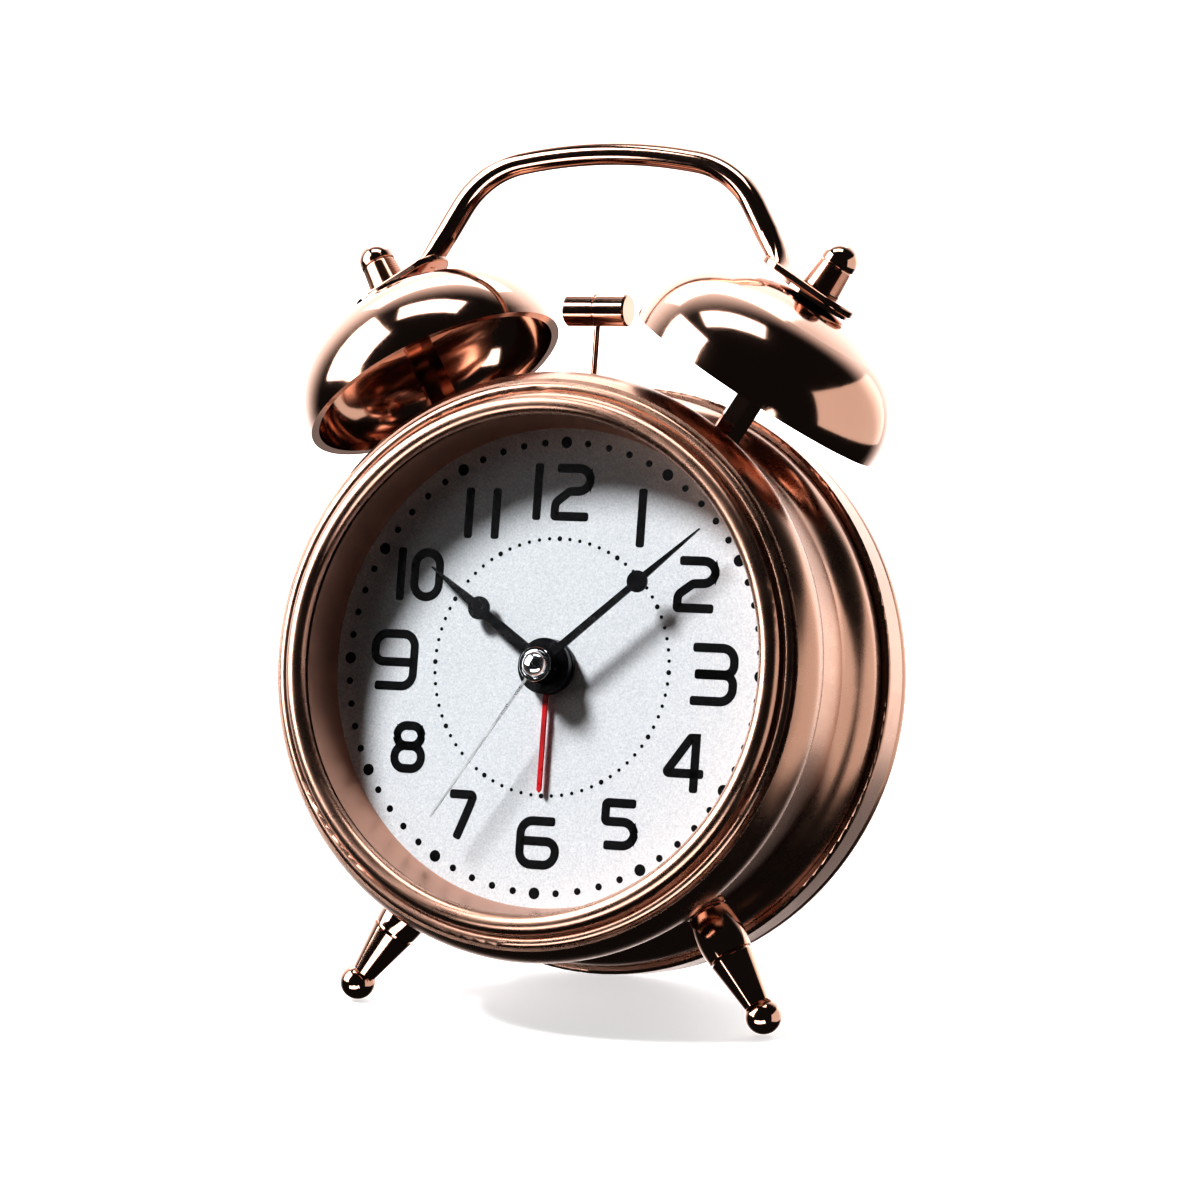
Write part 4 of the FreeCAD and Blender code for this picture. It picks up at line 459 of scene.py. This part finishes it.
def digit_strokes(digit, width, height):
    """Centre lines of a digit drawn about (0, 0), with the outside of its strokes at the given size."""
    w, h = (width - STROKE) / 2, (height - STROKE) / 2
    big, small = min(2.3, w * 0.9), 0.5
    if digit == "0":
        return [ring_path(0, 0, w, h, w * 0.98)]
    if digit == "1":
        return [rounded_path([(0, h + STROKE / 2), (0, -h - STROKE / 2)])]
    if digit == "2":
        waist = h * 0.08
        return [rounded_path([(-w, h), (w, h, big), (w, waist, big), (-w * 0.2, waist - 0.2, 1.4),
                              (-w, -h * 0.45, 1.5), (-w, -h, 0.15), (w, -h)])]
    if digit == "3":
        return [rounded_path([(-w, h), (w, h, big), (w, 0.05, 1.7), (-w * 0.85, 0.05)]),
                rounded_path([(-w * 0.85, -0.05), (w, -0.05, 1.7), (w, -h, big), (-w, -h)])]
    if digit == "4":
        foot = -h * 0.42
        return [rounded_path([(w * 0.62, -h - STROKE / 2), (w * 0.62, h), (w * 0.3, h, 0.2),
                              (-w, foot + 0.2, 0.25), (-w * 0.85, foot, 0.1), (w * 1.15, foot)])]
    if digit == "5":
        waist = h * 0.12
        return [rounded_path([(w, h), (-w, h, small), (-w, waist, small), (w, waist, big), (w, -h, big),
                              (-w, -h)])]
    if digit == "6":
        waist = h * 0.08
        return [rounded_path([(w * 0.9, h), (-w, h, big), (-w, -h, big), (w, -h, big), (w, waist, 1.8),
                              (-w, waist)])]
    if digit == "7":
        return [rounded_path([(-w, h), (w, h, 0.5), (w * 0.75, h * 0.5, 3.0),
                              (-w * 0.25, -h - STROKE / 2)])]
    if digit == "8":
        waist = h * 0.06
        return [ring_path(0, (h + waist) / 2, w * 0.92, (h - waist) / 2, 1.9),
                ring_path(0, (waist - h) / 2, w, (h + waist) / 2, 2.0)]
    if digit == "9":
        waist = -h * 0.08
        return [rounded_path([(-w * 0.9, -h), (w, -h, big), (w, h, big), (-w, h, big), (-w, waist, 1.8),
                              (w, waist)])]
    raise ValueError(digit)


NUMERAL_RING = 31.5
ONE = STROKE
NUMERALS = {  # hour: (height, [(digit, width, distance of its middle from the numeral's middle), ...])
    12: (10.3, [("1", ONE, -5.0), ("2", 8.3, 1.95)]),
    1: (10.5, [("1", ONE, 0)]), 2: (10.0, [("2", 8.6, 0)]),
    3: (11.0, [("3", 9.6, 0)]), 4: (10.4, [("4", 8.2, 0)]), 5: (9.1, [("5", 7.4, 0)]),
    6: (9.4, [("6", 8.6, 0)]), 7: (8.8, [("7", 6.4, 0)]), 8: (9.4, [("8", 7.0, 0)]),
    9: (11.1, [("9", 9.6, 0)]), 10: (9.7, [("1", ONE, -4.1), ("0", 6.6, 1.2)]),
    11: (9.2, [("1", ONE, -2.7), ("1", ONE, 2.7)]),
}

numerals = Print()
for hour, (height, digits) in NUMERALS.items():
    angle = math.radians(30 * hour)
    middle = Vector((NUMERAL_RING * math.sin(angle), NUMERAL_RING * math.cos(angle)))
    for digit, width, shift in digits:
        for path in digit_strokes(digit, width, height):
            numerals.ribbon([point + middle + Vector((shift, 0)) for point in path], STROKE)
numerals.finish("dial_numerals", INK)


def ring_of_dots(name, ring, count, every, large, small, sides):
    """Dots around the dial, with a larger one every few."""
    dots = Print()
    for index in range(count):
        angle = 2 * math.pi * index / count
        radius = small if index % every else large
        dots.dot(ring * math.sin(angle), ring * math.cos(angle), radius, sides)
    dots.finish(name, INK)


ring_of_dots("dial_minute_dots", 40.5, 60, 5, 1.05, 0.62, 20)
ring_of_dots("dial_alarm_dots", 23.1, 72, 6, 0.45, 0.32, 12)

# ---- printing on the rear cover: a turning arrow over each knob ------------------------------------------

COVER_BACK, ARROW_RADIUS, ARROW_HALF, ARROW_STROKE = 36.9, 8.6, 38, 0.7
TIP_REACH, BARB_LENGTH, BARB_SPREAD = 0.5, 1.7, 0.65
rear_face = CLOCK @ Matrix.Translation(Vector((0, COVER_BACK * MM, 0))) @ Matrix.Rotation(math.pi, 4, "Z")
rear_print = Print()
for knob in ("time_knob_spin", "alarm_knob_spin"):
    spot = CLOCK.inverted() @ Vector(joints[knob]["pos_m"]) / MM
    arc = [Vector((ARROW_RADIUS * math.sin(math.radians(a)) - spot.x,
                   ARROW_RADIUS * math.cos(math.radians(a)) + spot.z))
           for a in range(-ARROW_HALF, ARROW_HALF + 1, 4)]
    rear_print.ribbon(arc, ARROW_STROKE)
    tip = arc[-1] + (arc[-1] - arc[-2]).normalized() * TIP_REACH
    barb = (arc[-2] - arc[-1]).normalized() * BARB_LENGTH
    outward = Vector((-barb.y, barb.x)) * BARB_SPREAD
    rear_print.ribbon([tip + barb + outward, tip, tip + barb - outward], ARROW_STROKE)
rear_print.finish("rear_set_arrows", PALE_RUBBER, rear_face)

# ---- studio --------------------------------------------------------------------------------------------

scene = bpy.context.scene


def stage_plane(name, size, height, material):
    mesh = bpy.data.meshes.new(name)
    mesh.from_pydata([(-size, -size, height), (size, -size, height), (size, size, height),
                      (-size, size, height)], [], [(0, 1, 2, 3)])
    mesh.materials.append(material)
    plane = bpy.data.objects.new(name, mesh)
    scene.collection.objects.link(plane)
    return plane


def floor_material():
    material, tree, shader = new_material("studio_floor")
    tone = blend_colours(tree, noise(tree, 3, 2), (0.84, 0.84, 0.84), (0.87, 0.87, 0.87))
    tree.links.new(tone, shader.inputs["Base Color"])
    tree.links.new(tone, shader.inputs["Emission Color"])
    shader.inputs["Emission Strength"].default_value = 0.55
    shader.inputs["Roughness"].default_value = 0.9
    shader.inputs["Specular IOR Level"].default_value = 0.1
    return material


FLOOR_HALF_SIZE, FLOOR_LEVEL = 12, -0.0002
studio_floor = stage_plane("studio_floor", FLOOR_HALF_SIZE, FLOOR_LEVEL, floor_material())
studio_floor.visible_glossy = False
studio_floor.visible_diffuse = False

CAMERA_SPOT = Vector((305.51, -646.25, -38.19))
CAMERA_RIGHT = Vector((0.90856, 0.41157, 0.07160))
CAMERA_UP = Vector((-0.03572, -0.09423, 0.99491))


def turn_to_row(direction):
    return (CLOCK.to_3x3() @ direction).normalized()


camera_data = bpy.data.cameras.new("camera")
camera_data.sensor_width = 36
camera_data.lens = 120
camera_data.clip_end = 50
camera = bpy.data.objects.new("camera", camera_data)
scene.collection.objects.link(camera)
right, up = turn_to_row(CAMERA_RIGHT), turn_to_row(CAMERA_UP)
back = right.cross(up)
camera.matrix_world = Matrix.Translation(clock_point(*CAMERA_SPOT)) @ Matrix((
    (right.x, up.x, back.x, 0), (right.y, up.y, back.y, 0), (right.z, up.z, back.z, 0), (0, 0, 0, 1)))
scene.camera = camera

TARGET = clock_point(0, 10, 10)
BACKDROP_RISE, BACKDROP_EDGE, BACKDROP_FULL = 0.25, 0.3, 0.9


def facing_along(direction):
    """Turn that points a light's back along a direction."""
    return direction.to_track_quat("Z", "Y").to_matrix().to_4x4()


def soft_box(name, side, rise, distance, width, height, power, colour=(1, 1, 1)):
    """Light card mirrored in the metal but not lighting dull surfaces; side and rise are in degrees."""
    forward = camera.matrix_world.translation - TARGET
    heading = math.atan2(forward.x, -forward.y) + math.radians(side)
    tilt = math.radians(rise)
    outward = Vector((math.sin(heading) * math.cos(tilt), -math.cos(heading) * math.cos(tilt),
                      math.sin(tilt)))
    spot = TARGET + outward * distance
    data = bpy.data.lights.new(name, "AREA")
    data.shape = "RECTANGLE"
    data.size, data.size_y, data.energy = width, height, power
    data.color = colour
    light = bpy.data.objects.new(name, data)
    scene.collection.objects.link(light)
    light.visible_diffuse = False
    light.matrix_world = Matrix.Translation(spot) @ facing_along(outward)
    return light


def studio_world(front_dark, back_bright):
    """Surroundings that are white behind the clock and dark behind the camera, as in a studio."""
    world = bpy.data.worlds.new("studio")
    scene.world = world
    world.use_nodes = True
    tree = world.node_tree
    place = add(tree, "ShaderNodeTexCoord")
    facing = add(tree, "ShaderNodeVectorMath", operation="DOT_PRODUCT")
    away = TARGET - camera.matrix_world.translation
    away.z = 0
    facing.inputs[1].default_value = (away.normalized() + Vector((0, 0, BACKDROP_RISE))).normalized()
    tree.links.new(place.outputs["Generated"], facing.inputs[0])
    ramp = add(tree, "ShaderNodeMapRange", interpolation_type="SMOOTHSTEP")
    for socket, number in (("From Min", BACKDROP_EDGE), ("From Max", BACKDROP_FULL),
                           ("To Min", front_dark), ("To Max", back_bright)):
        ramp.inputs[socket].default_value = number
    tree.links.new(facing.outputs["Value"], ramp.inputs["Value"])
    background = tree.nodes["Background"]
    background.inputs["Color"].default_value = (0.97, 0.985, 1, 1)
    tree.links.new(ramp.outputs["Result"], background.inputs["Strength"])


def sun_light(name, towards, spread_degrees, strength):
    """Distant light that the metal doesn't mirror; towards is the direction to it in the clock's frame."""
    data = bpy.data.lights.new(name, "SUN")
    data.angle = math.radians(spread_degrees)
    data.energy = strength
    light = bpy.data.objects.new(name, data)
    scene.collection.objects.link(light)
    light.visible_glossy = False
    light.matrix_world = facing_along(turn_to_row(Vector(towards)))


scene.view_settings.view_transform = "Standard"
scene.view_settings.look = "High Contrast"
studio_world(front_dark=0.02, back_bright=1.5)
sun_light("key_light", towards=(-0.9, -1.0, 1.3), spread_degrees=13, strength=4.7)
soft_box("left_light", side=-84, rise=30, distance=1.2, width=0.9, height=1.1, power=15)
soft_box("top_light", side=-10, rise=84, distance=1.2, width=1.0, height=0.4, power=4.5)
soft_box("right_light", side=92, rise=-8, distance=1.2, width=2.2, height=1.0,
         power=5.8, colour=(1, 0.95, 0.9))
soft_box("low_light", side=-24, rise=-24, distance=1.1, width=1.3, height=0.4, power=5.0)
soft_box("back_light", side=178, rise=50, distance=1.5, width=1.8, height=0.6, power=6)
rear_fill = soft_box("rear_fill", side=165, rise=8, distance=1.5, width=1.2, height=1.2, power=22)
rear_fill.visible_diffuse = True
rear_fill.visible_glossy = False
rear_fill.visible_camera = False
